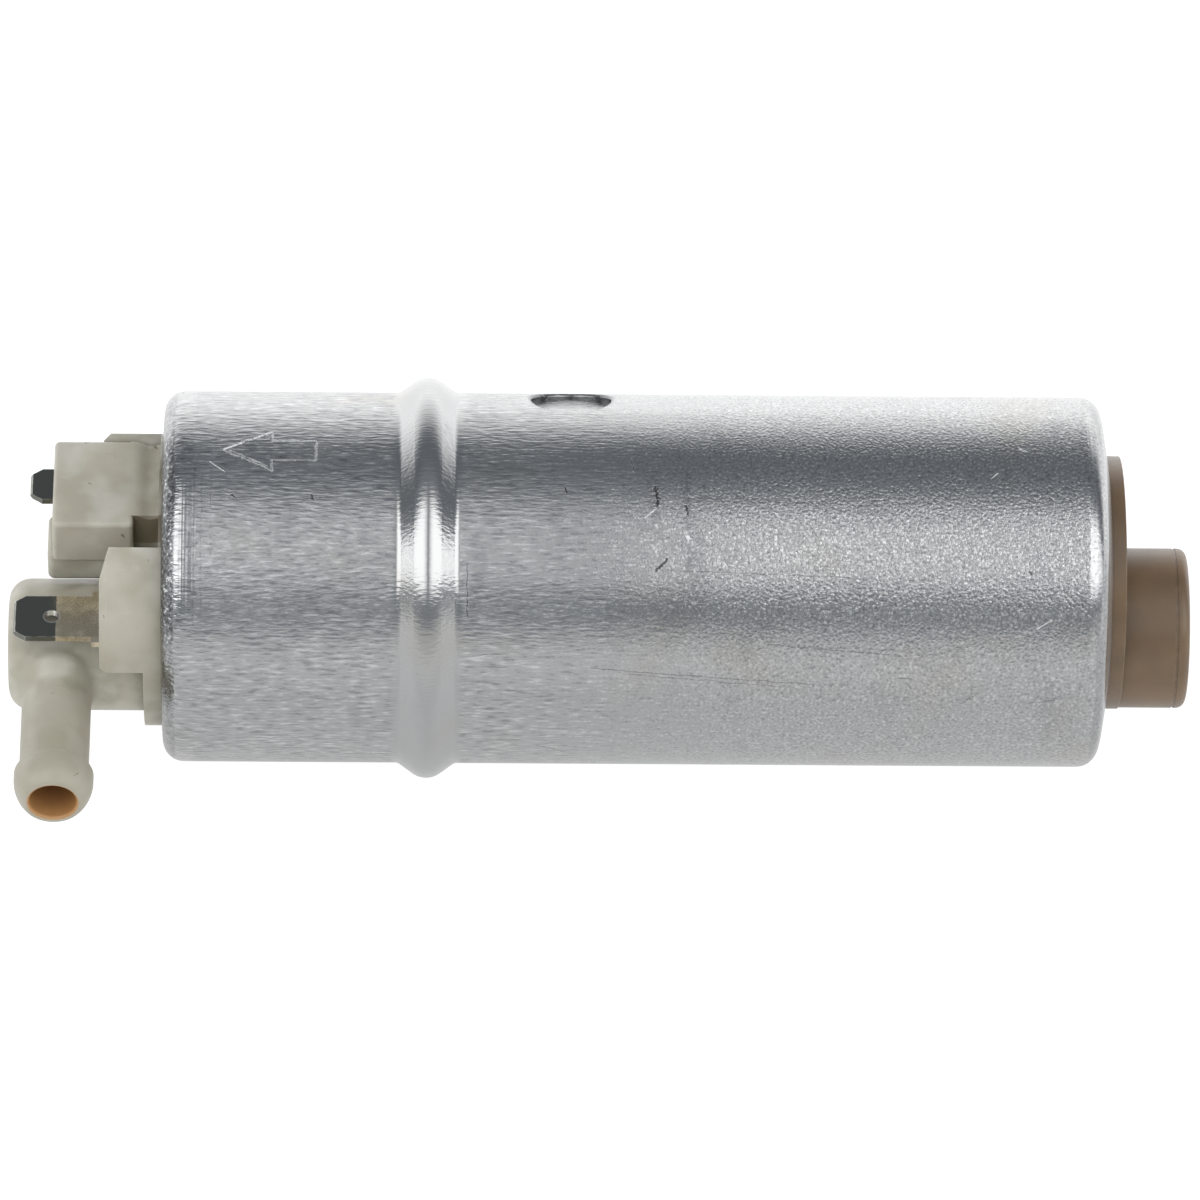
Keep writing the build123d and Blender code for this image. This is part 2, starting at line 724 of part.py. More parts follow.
def lamination_shape():
    """A star of eight stems under T-shaped pole tips, drawn in Y and Z."""
    shape = Circle(lam_r) - Circle(lam_r - tooth_tip_t)
    mouths = Sketch()
    stem_l = lam_r - tooth_tip_t / 2
    for k in range(comm_slots):
        a = 360 * k / comm_slots
        shape += Rot(0, 0, a) * Pos(stem_l / 2, 0) * Rectangle(stem_l, tooth_stem)
        mouths += Rot(0, 0, a + 180 / comm_slots) * Pos(lam_r, 0) * Rectangle(3 * tooth_tip_t, slot_mouth)
    return (shape - mouths) + Circle(lam_root_r)


def make_lamination_stack():
    return along(lamination_shape() - Circle(shaft_r), lam_left, lam_right)


def make_end_insulators():
    disc = lamination_shape() - Circle(sleeve_r + sleeve_room)
    ends = along(disc, lam_left - insulator_t, lam_left)
    return ends + along(disc, lam_right, lam_right + insulator_t)


def make_armature_winding():
    """Copper that fills the slots, with a rounded bundle of end turns at each end."""
    left = comm_back + winding_gap
    right = lam_right + insulator_t + winding_tail
    ring = Circle(winding_r) - Circle(winding_in_r)
    filled = (Circle(winding_r) - Circle(lam_root_r)) - lamination_shape()
    coil = along(filled, lam_left - insulator_t, lam_right + insulator_t)
    for x0, x1 in ((left, lam_left - insulator_t), (lam_right + insulator_t, right)):
        bundle = along(ring, x0, x1)
        far = bundle.edges().filter_by(GeomType.CIRCLE).group_by(Axis.X)[0 if x1 < lam_right else -1]
        coil += fillet(far, winding_round)
    return coil


def make_armature_shaft():
    end = cover_face + drive_past
    shaft = rod(shaft_r, holder_face + journal_step, plate_face)
    shaft += rod(journal_r, holder_face - journal_l, holder_face + journal_step)
    shaft += along(Circle(shaft_r) & Rectangle(4 * shaft_r, 2 * drive_flat), plate_face, end)
    tip = shaft.edges().filter_by(GeomType.CIRCLE).sort_by(Axis.X)[0]
    return chamfer(tip, shaft_chamfer)


def low_washer_x():
    return plate_back - lower_bush_proud - thrust_gap - washer_t


def make_spacer_sleeve():
    return tube(sleeve_r, shaft_r, lam_right, low_washer_x())


def make_thrust_washers():
    x_low = low_washer_x()
    x_up = holder_face + journal_step - washer_t
    return tube(washer_r, shaft_r, x_low, x_low + washer_t) + tube(washer_r, journal_r, x_up, x_up + washer_t)


def make_upper_bearing():
    x1 = holder_face + journal_step - washer_t - thrust_gap
    return tube(upper_bush_r, journal_r + turn_fit, x1 - upper_bush_l, x1)


def make_lower_bearing():
    x0 = plate_back - lower_bush_proud
    return tube(lower_bush_r, shaft_r + turn_fit, x0, x0 + lower_bush_l)


def make_magnet(middle):
    arc = sector(magnet_in_r, body_r, middle - magnet_span / 2, middle + magnet_span / 2)
    magnet = along(arc, magnet_left, magnet_right)
    inner = magnet.edges().filter_by(Axis.X).sort_by(lambda e: hypot(e.center().Y, e.center().Z))[:2]
    return chamfer(inner, magnet_edge)


def make_magnet_clips():
    """Two U-shaped springs of strip, each pushing two magnets apart."""
    half = (180 - magnet_span) / 2 - degrees(clip_fit / body_r)
    leg = degrees(clip_t / body_r)
    x0 = dimple_x + dimple_r + clip_back
    clips = Part()
    for middle in (dimple_angle, dimple_angle + 180):
        shape = sector(body_r - clip_t, body_r, middle - half, middle + half)
        shape += sector(body_r - clip_leg, body_r, middle - half, middle - half + leg)
        shape += sector(body_r - clip_leg, body_r, middle + half - leg, middle + half)
        clips += along(shape, x0, x0 + clip_l)
    return clips


def check_seat_face():
    return can_left + seat_proud


def make_check_valve_seat():
    face = check_seat_face()
    return tube(tower_bore_r, seat_hole_r, face, face + seat_l, tower_y, tower_z)


def make_check_valve_seal():
    face = check_seat_face()
    return tube(check_seal_r, check_nose_r, face - check_seal_t, face, tower_y, tower_z)


def make_check_valve_poppet():
    seal_back = check_seat_face() - check_seal_t
    head_back = seal_back - check_head_t
    poppet = rod(check_nose_r, seal_back, seal_back + check_nose_l, tower_y, tower_z)
    poppet += rod(check_head_r, head_back, seal_back, tower_y, tower_z)
    poppet += rod(check_stem_r, head_back - check_stem_l, head_back, tower_y, tower_z)
    return chamfer(poppet.edges().filter_by(GeomType.CIRCLE).sort_by(Axis.X)[0], check_stem_edge)


def make_check_valve_spring():
    head_back = check_seat_face() - check_seal_t - check_head_t
    end = tower_end + tower_end_wall
    return spring(check_spring_r, check_wire_r, end, head_back, check_turns, tower_y, tower_z)


def relief_places():
    """Seat face, ball centre and stop face of the relief valve along X."""
    seat = can_left - relief_seat_x
    ball = seat - sqrt(relief_ball_r**2 - relief_hole_r**2) - turn_fit
    stop = can_left - relief_proud + relief_stop_back + relief_stop_l
    return seat, ball, stop


def make_relief_valve_seat():
    seat = relief_places()[0]
    return tube(relief_bore_r, relief_hole_r, seat, seat + relief_seat_l, relief_y, relief_z)


def make_relief_valve_ball():
    return Pos(relief_places()[1], relief_y, relief_z) * Sphere(relief_ball_r)


def make_relief_valve_stop():
    stop = relief_places()[2]
    return tube(relief_bore_r, relief_stop_hole_r, stop - relief_stop_l, stop, relief_y, relief_z)


def make_relief_valve_spring():
    seat, ball, stop = relief_places()
    rest_r = relief_spring_r - relief_wire_r
    near = ball - sqrt(relief_ball_r**2 - rest_r**2) - turn_fit
    return spring(relief_spring_r, relief_wire_r, stop, near, relief_turns, relief_y, relief_z)


magnet_side = dimple_angle + 90
pieces = {
    "can": make_can(),
    "outlet_cap": make_outlet_cap(),
    "cap_seal": make_seal(cap_inner, -1),
    "terminal_positive": make_terminal(-1, positive_w, positive_reach),
    "terminal_negative": make_terminal(1, negative_w, negative_reach),
    "check_valve_seat": make_check_valve_seat(),
    "check_valve_seal": make_check_valve_seal(),
    "check_valve_poppet": make_check_valve_poppet(),
    "check_valve_spring": make_check_valve_spring(),
    "relief_valve_seat": make_relief_valve_seat(),
    "relief_valve_ball": make_relief_valve_ball(),
    "relief_valve_spring": make_relief_valve_spring(),
    "relief_valve_stop": make_relief_valve_stop(),
    "brush_holder": make_brush_holder(),
    "upper_bearing": make_upper_bearing(),
    "commutator_segments": make_commutator_segments(),
    "commutator_hub": make_commutator_hub(),
    "armature_shaft": make_armature_shaft(),
    "lamination_stack": make_lamination_stack(),
    "end_insulators": make_end_insulators(),
    "armature_winding": make_armature_winding(),
    "spacer_sleeve": make_spacer_sleeve(),
    "thrust_washers": make_thrust_washers(),
    "magnet_north": make_magnet(magnet_side),
    "magnet_south": make_magnet(magnet_side + 180),
    "magnet_clips": make_magnet_clips(),
    "lower_bearing": make_lower_bearing(),
    "middle_plate": make_middle_plate(),
    "pump_ring": make_pump_ring(),
    "inner_rotor": make_inner_rotor(),
    "outer_rotor": make_outer_rotor(),
    "dowel_pins": make_dowel_pins(),
    "inlet_cover": make_inlet_cover(),
    "inlet_seal": make_seal(cover_face, 1),
}
for name, side in (("positive", -1), ("negative", 1)):
    pieces["brush_" + name] = make_brush(side)
    pieces["brush_spring_" + name] = make_brush_spring(side)
    pieces["brush_lead_" + name] = make_brush_lead(side)
    pieces["choke_coil_" + name] = make_choke_coil(side)
    pieces["choke_core_" + name] = make_choke_core(side)

os.makedirs("parts", exist_ok=True)
for name, piece in pieces.items():
    export_step(piece, f"parts/{name}.step")
print(len(pieces), "pieces")
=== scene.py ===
# An in-tank fuel pump: a plated steel can between a cream outlet cap and a brown inlet cover.
# Lengths are metres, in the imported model's frame. X runs along the pump, with the outlet at -X.

import json
import math

import bpy
import numpy as np
from mathutils import Matrix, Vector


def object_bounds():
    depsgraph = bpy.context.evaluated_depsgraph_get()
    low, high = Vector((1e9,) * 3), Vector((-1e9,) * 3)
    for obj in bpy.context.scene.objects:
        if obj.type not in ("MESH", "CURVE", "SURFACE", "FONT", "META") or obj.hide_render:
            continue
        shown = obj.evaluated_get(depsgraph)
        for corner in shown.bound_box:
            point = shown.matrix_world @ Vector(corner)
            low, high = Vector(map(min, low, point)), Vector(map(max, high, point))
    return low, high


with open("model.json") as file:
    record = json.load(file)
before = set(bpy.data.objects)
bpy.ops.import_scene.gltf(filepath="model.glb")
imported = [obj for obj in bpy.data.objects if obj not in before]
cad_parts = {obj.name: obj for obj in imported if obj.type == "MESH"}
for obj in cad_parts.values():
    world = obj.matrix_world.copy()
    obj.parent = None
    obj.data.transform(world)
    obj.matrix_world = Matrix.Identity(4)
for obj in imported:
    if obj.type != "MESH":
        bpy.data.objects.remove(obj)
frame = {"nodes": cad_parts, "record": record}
cadBox = [list(corner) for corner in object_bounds()]
mm = 0.001
white = (1, 1, 1, 1)
mounts = {mount["name"]: mount for mount in frame["record"]["mounts"]}
canRadius = mounts["body_clamp"]["dims"]["r_mm"] * mm
nippleAxis = mounts["outlet_nipple"]["pos_m"]


# Camera, at the photograph's angle

cameraView = {
    "distance": 1.130,
    "lens": 291.7,
    "sensor": 36,
    "clip": (0.05, 20),
    "elevation": 47.46,
    "aside": -23.2 * mm,  # where along the pump the camera stands
    "axisAboveMiddle": 2.45 * mm,
    "roll": 0.39,  # degrees, the pump's right end lower
}


# Unit vectors towards the camera and up the picture, for a camera square to the pump's axis
def viewAxes(elevation):
    e = math.radians(elevation)
    return np.array([0, -math.cos(e), math.sin(e)]), np.array([0, math.sin(e), math.cos(e)])


towardsCamera, pictureUp = viewAxes(cameraView["elevation"])


def makeCamera(view):
    data = bpy.data.cameras.new("camera")
    data.lens = view["lens"]
    data.sensor_width = view["sensor"]
    data.clip_start, data.clip_end = view["clip"]
    camera = bpy.data.objects.new("camera", data)
    bpy.context.scene.collection.objects.link(camera)
    place = towardsCamera * view["distance"] - pictureUp * view["axisAboveMiddle"]
    place = place + np.array([view["aside"], 0, 0])
    back = place + pictureUp * view["axisAboveMiddle"]
    back = back / np.linalg.norm(back)
    across = np.cross(pictureUp, back)
    roll = math.radians(view["roll"])
    right = math.cos(roll) * across + math.sin(roll) * pictureUp
    up = math.cos(roll) * pictureUp - math.sin(roll) * across
    matrix = np.eye(4)
    matrix[:3, 0], matrix[:3, 1], matrix[:3, 2], matrix[:3, 3] = right, up, back, place
    camera.matrix_world = Matrix(matrix.tolist())
    bpy.context.scene.camera = camera
    bpy.context.scene.view_settings.view_transform = "Standard"  # photographed whites stay white


makeCamera(cameraView)
print("camera placed")


# Node helpers

def addNode(tree, kind, inputs=None, **settings):
    made = tree.nodes.new(kind)
    for name, value in settings.items():
        setattr(made, name, value)
    for socket, value in (inputs or {}).items():
        if isinstance(value, bpy.types.NodeSocket):
            tree.links.new(value, made.inputs[socket])
        else:
            made.inputs[socket].default_value = value
    return made


# The output of a Math node
def calc(tree, operation, *values, clamp=False):
    made = addNode(tree, "ShaderNodeMath", dict(enumerate(values)), operation=operation, use_clamp=clamp)
    return made.outputs[0]


# The outputs of a Vector Math node, which gives a Vector or a Value
def vectorCalc(tree, operation, *values):
    return addNode(tree, "ShaderNodeVectorMath", dict(enumerate(values)), operation=operation).outputs


def times(tree, a, b):
    return calc(tree, "MULTIPLY", a, b)


def larger(tree, a, b):
    return calc(tree, "MAXIMUM", a, b)


def stretched(tree, vector, amounts):
    return vectorCalc(tree, "MULTIPLY", vector, amounts)["Vector"]


def dotWith(tree, vector, direction):
    return vectorCalc(tree, "DOT_PRODUCT", vector, tuple(direction))["Value"]


def axesOf(tree, vector):
    return addNode(tree, "ShaderNodeSeparateXYZ", {0: vector}).outputs


def vectorOf(tree, x, y, z):
    return addNode(tree, "ShaderNodeCombineXYZ", {0: x, 1: y, 2: z}).outputs[0]


# 0 below low and 1 above high, with a soft rise between them; where low is the larger, it falls instead
def smoothStep(tree, value, low, high):
    made = addNode(tree, "ShaderNodeMapRange", {0: value, 1: low, 2: high}, interpolation_type="SMOOTHSTEP")
    return made.outputs[0]


# 1 between two soft edges, each given by its foot and its top
def between(tree, value, low, lowFull, high, highFull):
    return times(tree, smoothStep(tree, value, low, lowFull), smoothStep(tree, value, high, highFull))


# The distance from a point, from the two differences
def distance(tree, a, b):
    return calc(tree, "SQRT", calc(tree, "MULTIPLY_ADD", a, a, times(tree, b, b)))


def mixValue(tree, share, a, b):
    return addNode(tree, "ShaderNodeMix", {0: share, 2: a, 3: b}, data_type="FLOAT").outputs[0]


def mixColour(tree, share, a, b):
    return addNode(tree, "ShaderNodeMix", {0: share, 6: a, 7: b}, data_type="RGBA").outputs[2]


# A Color Ramp through the stops, given as place and grey level
def ramp(tree, value, stops):
    made = addNode(tree, "ShaderNodeValToRGB", {0: value})
    elements = made.color_ramp.elements
    while len(elements) > 1:
        elements.remove(elements[-1])
    for k, (place, level) in enumerate(stops):
        element = elements[0] if k == 0 else elements.new(place)
        element.position = place
        element.color = (level, level, level, 1)
    return made.outputs[0]


# Studio: soft boxes at both sides of the camera, a dark gap overhead, a bright cove behind, a pale floor

studio = {
    "bands": {  # degrees up from the camera, and brightness in the gap between the two soft boxes
        -180: 1.0, -60: 0.9, -36: 0.85, -31: 0.74, -28: 0.46, -20: 0.40, -12: 0.45, -6: 0.46, 2: 0.47,
        38: 0.47, 46: 0.46, 52: 0.43, 62: 0.36, 74: 0.27, 88: 0.27, 96: 0.42, 106: 1.0, 118: 1.5, 132: 1.9,
        180: 1.9,
    },
    "boxes": {  # degrees sideways from the gap's middle, and share of a box's full brightness
        0: 0, 0.8: 0, 2.5: 0.10, 5: 0.29, 8: 0.47, 14: 0.74, 24: 1, 62: 1, 78: 0.7, 90: 0.7,
    },
    "gapMiddle": 1.4,  # degrees towards +X
    "coolTone": (0.90, 0.97, 1.06, 1),  # of the dark parts
    "coolBrightness": (0.3, 0.9),  # where the cool tone ends
    "boxBrightness": 2.4,
    "boxSpan": (-14, -3, 54, 38),  # degrees up where a box begins and is full, then where it ends and is full
    "backdrop": 1.0,
    "floorGlow": 0.62,
    "floorGlowDiffuse": 1.6,  # times as much for light that is scattered
    "floorGlowBehind": 1.12,  # the light falls off from the bright wall behind
    "floorBehind": (0.01, 0.09),  # Y where that light starts and is full
    "floorGlowSeen": 0.93,  # as the camera sees it, so that the paper comes out white
    "floorColour": (0.22, 0.22, 0.22, 1),
    "floorRoughness": 0.32,
    "floorDrop": 0.3 * mm,
    "floorSize": 4.0,
}


# Brightness by direction: an angle round the pump's axis, from the camera up, and an angle sideways
def makeWorld(spec):
    world = bpy.data.worlds.new("studio")
    bpy.context.scene.world = world
    world.use_nodes = True
    tree = world.node_tree
    tree.nodes.clear()
    direction = addNode(tree, "ShaderNodeTexCoord").outputs["Generated"]
    up = dotWith(tree, direction, pictureUp)
    front = dotWith(tree, direction, towardsCamera)
    turn = calc(tree, "DEGREES", calc(tree, "ARCTAN2", up, front))
    place = calc(tree, "MULTIPLY_ADD", turn, 1 / 360, 0.5)
    top = max(spec["bands"].values())
    stops = [(angle / 360 + 0.5, level / top) for angle, level in sorted(spec["bands"].items())]
    band = times(tree, ramp(tree, place, stops), top)
    sideways = calc(tree, "DEGREES", calc(tree, "ARCSINE", dotWith(tree, direction, (1, 0, 0))))
    sideways = calc(tree, "ABSOLUTE", calc(tree, "SUBTRACT", sideways, spec["gapMiddle"]))
    widest = max(spec["boxes"])
    stops = [(angle / widest, share) for angle, share in spec["boxes"].items()]
    inBox = ramp(tree, calc(tree, "DIVIDE", sideways, widest), stops)
    inBox = times(tree, inBox, between(tree, turn, *spec["boxSpan"]))
    light = mixValue(tree, inBox, band, spec["boxBrightness"])
    tone = mixColour(tree, smoothStep(tree, light, *spec["coolBrightness"]), spec["coolTone"], white)
    seen = addNode(tree, "ShaderNodeLightPath").outputs["Is Camera Ray"]
    strength = mixValue(tree, seen, light, spec["backdrop"])
    tone = mixColour(tree, seen, tone, white)
    background = addNode(tree, "ShaderNodeBackground", {"Color": tone, "Strength": strength})
    addNode(tree, "ShaderNodeOutputWorld", {"Surface": background.outputs[0]})


# White paper that is lit from below, so that it throws only a faint shadow
def makeFloor(spec):
    half = spec["floorSize"] / 2
    z = cadBox[0][2] - spec["floorDrop"]
    corners = [(-half, -half, z), (half, -half, z), (half, half, z), (-half, half, z)]
    mesh = bpy.data.meshes.new("floor")
    mesh.from_pydata(corners, [], [(0, 1, 2, 3)])
    floor = bpy.data.objects.new("floor", mesh)
    bpy.context.scene.collection.objects.link(floor)
    material = bpy.data.materials.new("paleFloor")
    material.use_nodes = True
    tree = material.node_tree
    shader = tree.nodes["Principled BSDF"]
    shader.inputs["Base Color"].default_value = spec["floorColour"]
    shader.inputs["Roughness"].default_value = spec["floorRoughness"]
    shader.inputs["Emission Color"].default_value = white
    place = addNode(tree, "ShaderNodeTexCoord").outputs["Object"]
    behind = smoothStep(tree, axesOf(tree, place)["Y"], *spec["floorBehind"])
    glow = mixValue(tree, behind, spec["floorGlow"], spec["floorGlowBehind"])
    ray = addNode(tree, "ShaderNodeLightPath").outputs
    glow = times(tree, glow, mixValue(tree, ray["Is Diffuse Ray"], 1.0, spec["floorGlowDiffuse"]))
    glow = mixValue(tree, ray["Is Camera Ray"], glow, spec["floorGlowSeen"])
    tree.links.new(glow, shader.inputs["Emission Strength"])
    mesh.materials.append(material)


makeWorld(studio)
makeFloor(studio)
print("studio lit")


# Shader groups shared by the finishes

# A shader node group with named sockets, and the sockets to draw from and the node to feed.
# An input without a value is a vector.
def newGroup(name, inputs, outputs):
    tree = bpy.data.node_groups.new(name, "ShaderNodeTree")
    kinds = {"f": "NodeSocketFloat", "v": "NodeSocketVector"}
    for label, value in inputs.items():
        kind = kinds["v" if value is None else "f"]
        socket = tree.interface.new_socket(label, in_out="INPUT", socket_type=kind)
        if value is not None:
            socket.default_value = value
    for label, kind in outputs.items():
        tree.interface.new_socket(label, in_out="OUTPUT", socket_type=kinds[kind])
    source = tree.nodes.new("NodeGroupInput").outputs
    return tree, source, tree.nodes.new("NodeGroupOutput")


def noise(tree, vector, scale, detail=3.0, roughness=0.55, distortion=0.0):
    inputs = {"Vector": vector, "Scale": scale, "Detail": detail, "Roughness": roughness,
              "Distortion": distortion}
    return addNode(tree, "ShaderNodeTexNoise", inputs).outputs["Fac"]


fineness = 9.0  # how much finer the mottling is than the blotches


# Soft blotches and fine mottling, as masks about one half
def makeCloudGroup():
    tree, source, sink = newGroup("cloud", {"Vector": None, "Size": 0.01}, {"Broad": "f", "Fine": "f"})
    scale = calc(tree, "DIVIDE", 1.0, source["Size"])
    broad = noise(tree, source["Vector"], scale, detail=2.0)
    fine = noise(tree, source["Vector"], times(tree, scale, fineness), detail=4.0)
    tree.links.new(broad, sink.inputs["Broad"])
    tree.links.new(fine, sink.inputs["Fine"])
    return tree


# A grain height: isotropic pips mixed with streaks drawn out along X
def makeGrainGroup():
    inputs = {"Vector": None, "Size": 0.0004, "Streaks": 0.5, "Length": 5.0}
    tree, source, sink = newGroup("grain", inputs, {"Height": "f"})
    scale = calc(tree, "DIVIDE", 1.0, source["Size"])
    pips = noise(tree, source["Vector"], scale, detail=2.0, roughness=0.5)
    shorten = vectorOf(tree, calc(tree, "DIVIDE", 1.0, source["Length"]), 1.0, 1.0)
    streaks = noise(tree, stretched(tree, source["Vector"], shorten), scale, detail=2.0, roughness=0.5)
    tree.links.new(mixValue(tree, source["Streaks"], pips, streaks), sink.inputs["Height"])
    return tree


edgeWear = {
    "alignment": (0.995, 0.90),  # of the rounded and the true normal, where wear starts and is full
    "patchScale": 900.0,
    "patchFade": 0.2,
}


# Edges that handling has rubbed: where a rounded normal leaves the true one, broken up by noise
def makeWearGroup(spec):
    inputs = {"Vector": None, "Radius": 0.0004, "Break": 0.4}
    tree, source, sink = newGroup("edgeWear", inputs, {"Mask": "f"})
    rounded = addNode(tree, "ShaderNodeBevel", {"Radius": source["Radius"]}, samples=4).outputs[0]
    true = addNode(tree, "ShaderNodeNewGeometry").outputs["Normal"]
    alignment = vectorCalc(tree, "DOT_PRODUCT", rounded, true)["Value"]
    edge = smoothStep(tree, alignment, *spec["alignment"])
    patch = noise(tree, source["Vector"], spec["patchScale"], detail=3.0)
    whole = calc(tree, "ADD", source["Break"], spec["patchFade"])
    broken = times(tree, edge, smoothStep(tree, patch, source["Break"], whole))
    tree.links.new(broken, sink.inputs["Mask"])
    return tree


cornerShadeAndDirt = {
    "patchScale": 400.0,
    "patchShare": 0.5,
    "range": (0.45, 1.05),  # of shut-off sky and noise together, where painted shade and dirt start and are full
}


# Painted shade with dirt in inner corners, where little open sky is seen, broken up by noise
def makeCornerShadeGroup(spec):
    inputs = {"Vector": None, "Reach": 0.003}
    tree, source, sink = newGroup("cornerShadeAndDirt", inputs, {"Mask": "f"})
    sky = addNode(tree, "ShaderNodeAmbientOcclusion", {"Distance": source["Reach"]}, samples=6).outputs["AO"]
    patch = noise(tree, source["Vector"], spec["patchScale"], detail=4.0)
    shut = calc(tree, "SUBTRACT", 1.0, sky)
    shut = calc(tree, "MULTIPLY_ADD", patch, spec["patchShare"], shut)
    tree.links.new(smoothStep(tree, shut, *spec["range"]), sink.inputs["Mask"])
    return tree


markEdge = 1.8  # how steeply a mark fades at its width


# One scratch or nick: the larger of what came before and 1 on the line between two points, 0 past its width.
# With the line's half length h, the distance from it is hypot(max(|along| - h, 0), across).
def makeMarkGroup():
    inputs = {"Before": 0.0, "X": 0.0, "Y": 0.0, "Width": 0.1, "Ragged": 1.0, "MiddleX": 0.0, "MiddleY": 0.0,
              "Cos": 1.0, "Sin": 0.0, "Half": 1.0}
    tree, source, sink = newGroup("mark", inputs, {"Mask": "f"})
    x = calc(tree, "SUBTRACT", source["X"], source["MiddleX"])
    y = calc(tree, "SUBTRACT", source["Y"], source["MiddleY"])
    along = calc(tree, "MULTIPLY_ADD", x, source["Cos"], times(tree, y, source["Sin"]))
    across = calc(tree, "SUBTRACT", times(tree, y, source["Cos"]), times(tree, x, source["Sin"]))
    past = larger(tree, calc(tree, "SUBTRACT", calc(tree, "ABSOLUTE", along), source["Half"]), 0.0)
    share = calc(tree, "DIVIDE", distance(tree, past, across), times(tree, source["Width"], source["Ragged"]))
    share = calc(tree, "MULTIPLY_ADD", share, -markEdge, markEdge, clamp=True)
    tree.links.new(larger(tree, share, source["Before"]), sink.inputs["Mask"])
    return tree


scratchField = {
    "distortion": 0.3,
    "ridge": (0.70, 0.76),  # of the drawn-out noise, where a scratch starts and is full
    "patchScale": 160.0,
    "patch": (0.50, 0.62),  # of the patches' noise, where scratches start to show and show fully
}


# Fine stray scratches: ridges of a noise that is drawn out along one direction, kept in sparse patches
def makeScratchGroup(spec):
    inputs = {"Place": None, "Turn": 0.0, "Length": 0.02, "Width": 0.0003}
    tree, source, sink = newGroup("strayScratches", inputs, {"Mask": "f"})
    turned = addNode(tree, "ShaderNodeVectorRotate", {"Vector": source["Place"], "Angle": source["Turn"]},
                     rotation_type="Z_AXIS").outputs[0]
    shrink = vectorOf(tree, calc(tree, "DIVIDE", 1.0, source["Length"]),
                      calc(tree, "DIVIDE", 1.0, source["Width"]), 1.0)
    lines = noise(tree, stretched(tree, turned, shrink), 1.0, detail=1.0, distortion=spec["distortion"])
    patch = noise(tree, source["Place"], spec["patchScale"], detail=2.0)
    ridge = smoothStep(tree, lines, *spec["ridge"])
    tree.links.new(times(tree, ridge, smoothStep(tree, patch, *spec["patch"])), sink.inputs["Mask"])
    return tree


# The can's surface laid flat: X, and the arc length up from the line that faces the camera
def makeUnrollGroup():
    tree, source, sink = newGroup("unrolled", {"Vector": None}, {"Place": "v"})
    up = dotWith(tree, source["Vector"], pictureUp)
    turn = calc(tree, "ARCTAN2", up, dotWith(tree, source["Vector"], towardsCamera))
    x = axesOf(tree, source["Vector"])["X"]
    tree.links.new(vectorOf(tree, x, times(tree, turn, canRadius), 0.0), sink.inputs["Place"])
    return tree


# The part laid on the picture: X, and the height up the picture
def makeProjectGroup():
    tree, source, sink = newGroup("projected", {"Vector": None}, {"Place": "v"})
    x = axesOf(tree, source["Vector"])["X"]
    tree.links.new(vectorOf(tree, x, dotWith(tree, source["Vector"], pictureUp), 0.0), sink.inputs["Place"])
    return tree


cloudGroup = makeCloudGroup()
grainGroup = makeGrainGroup()
wearGroup = makeWearGroup(edgeWear)
cornerShadeGroup = makeCornerShadeGroup(cornerShadeAndDirt)
markGroup = makeMarkGroup()
scratchGroup = makeScratchGroup(scratchField)
unrollGroup = makeUnrollGroup()
projectGroup = makeProjectGroup()


def useGroup(tree, group, **inputs):
    return addNode(tree, "ShaderNodeGroup", inputs, node_tree=group).outputs


def newMaterial(name):
    material = bpy.data.materials.new(name)
    material.use_nodes = True
    tree = material.node_tree
    shader = tree.nodes["Principled BSDF"]
    place = addNode(tree, "ShaderNodeTexCoord").outputs["Object"]
    return material, tree, shader, place


def setBump(tree, shader, height, depth):
    bump = addNode(tree, "ShaderNodeBump", {"Strength": 1.0, "Distance": depth, "Height": height})
    tree.links.new(bump.outputs[0], shader.inputs["Normal"])


# Colour b over colour a where the mask says so, at most by the share
def tinted(tree, mask, share, a, b):
    return mixColour(tree, times(tree, mask, share), a, b)


markStyle = {
    "raggedScale": 4000.0,
    "ragged": (4.4, -1.3, 0.05),  # factor and offset of the noise that varies the width, and its least value
    "bendScale": 700.0,
    "bend": 0.5 * mm,  # how far noise bends the marks
}


# All marks of a list as one mask; a mark is its two ends and its width, in mm
def markMask(tree, place, marks):
    factor, offset, least = markStyle["ragged"]
    ragged = noise(tree, place, markStyle["raggedScale"], detail=3.0)
    ragged = larger(tree, calc(tree, "MULTIPLY_ADD", ragged, factor, offset), least)
    inputs = {"Vector": place, "Scale": markStyle["bendScale"], "Detail": 2.0}
    warp = addNode(tree, "ShaderNodeTexNoise", inputs).outputs["Color"]
    bent = vectorCalc(tree, "SUBTRACT", warp, (0.5, 0.5, 0.5))["Vector"]
    bent = vectorCalc(tree, "MULTIPLY_ADD", bent, (markStyle["bend"],) * 3, place)["Vector"]
    axes = axesOf(tree, stretched(tree, bent, (1 / mm, 1 / mm, 1)))
    total = 0.0
    for (x0, y0), (x1, y1), width in marks:
        length = math.hypot(x1 - x0, y1 - y0)
        total = useGroup(tree, markGroup, Before=total, X=axes["X"], Y=axes["Y"], Width=width, Ragged=ragged,
                         MiddleX=(x0 + x1) / 2, MiddleY=(y0 + y1) / 2, Cos=(x1 - x0) / length,
                         Sin=(y1 - y0) / length, Half=length / 2)["Mask"]
    return total


# Plated steel of the can

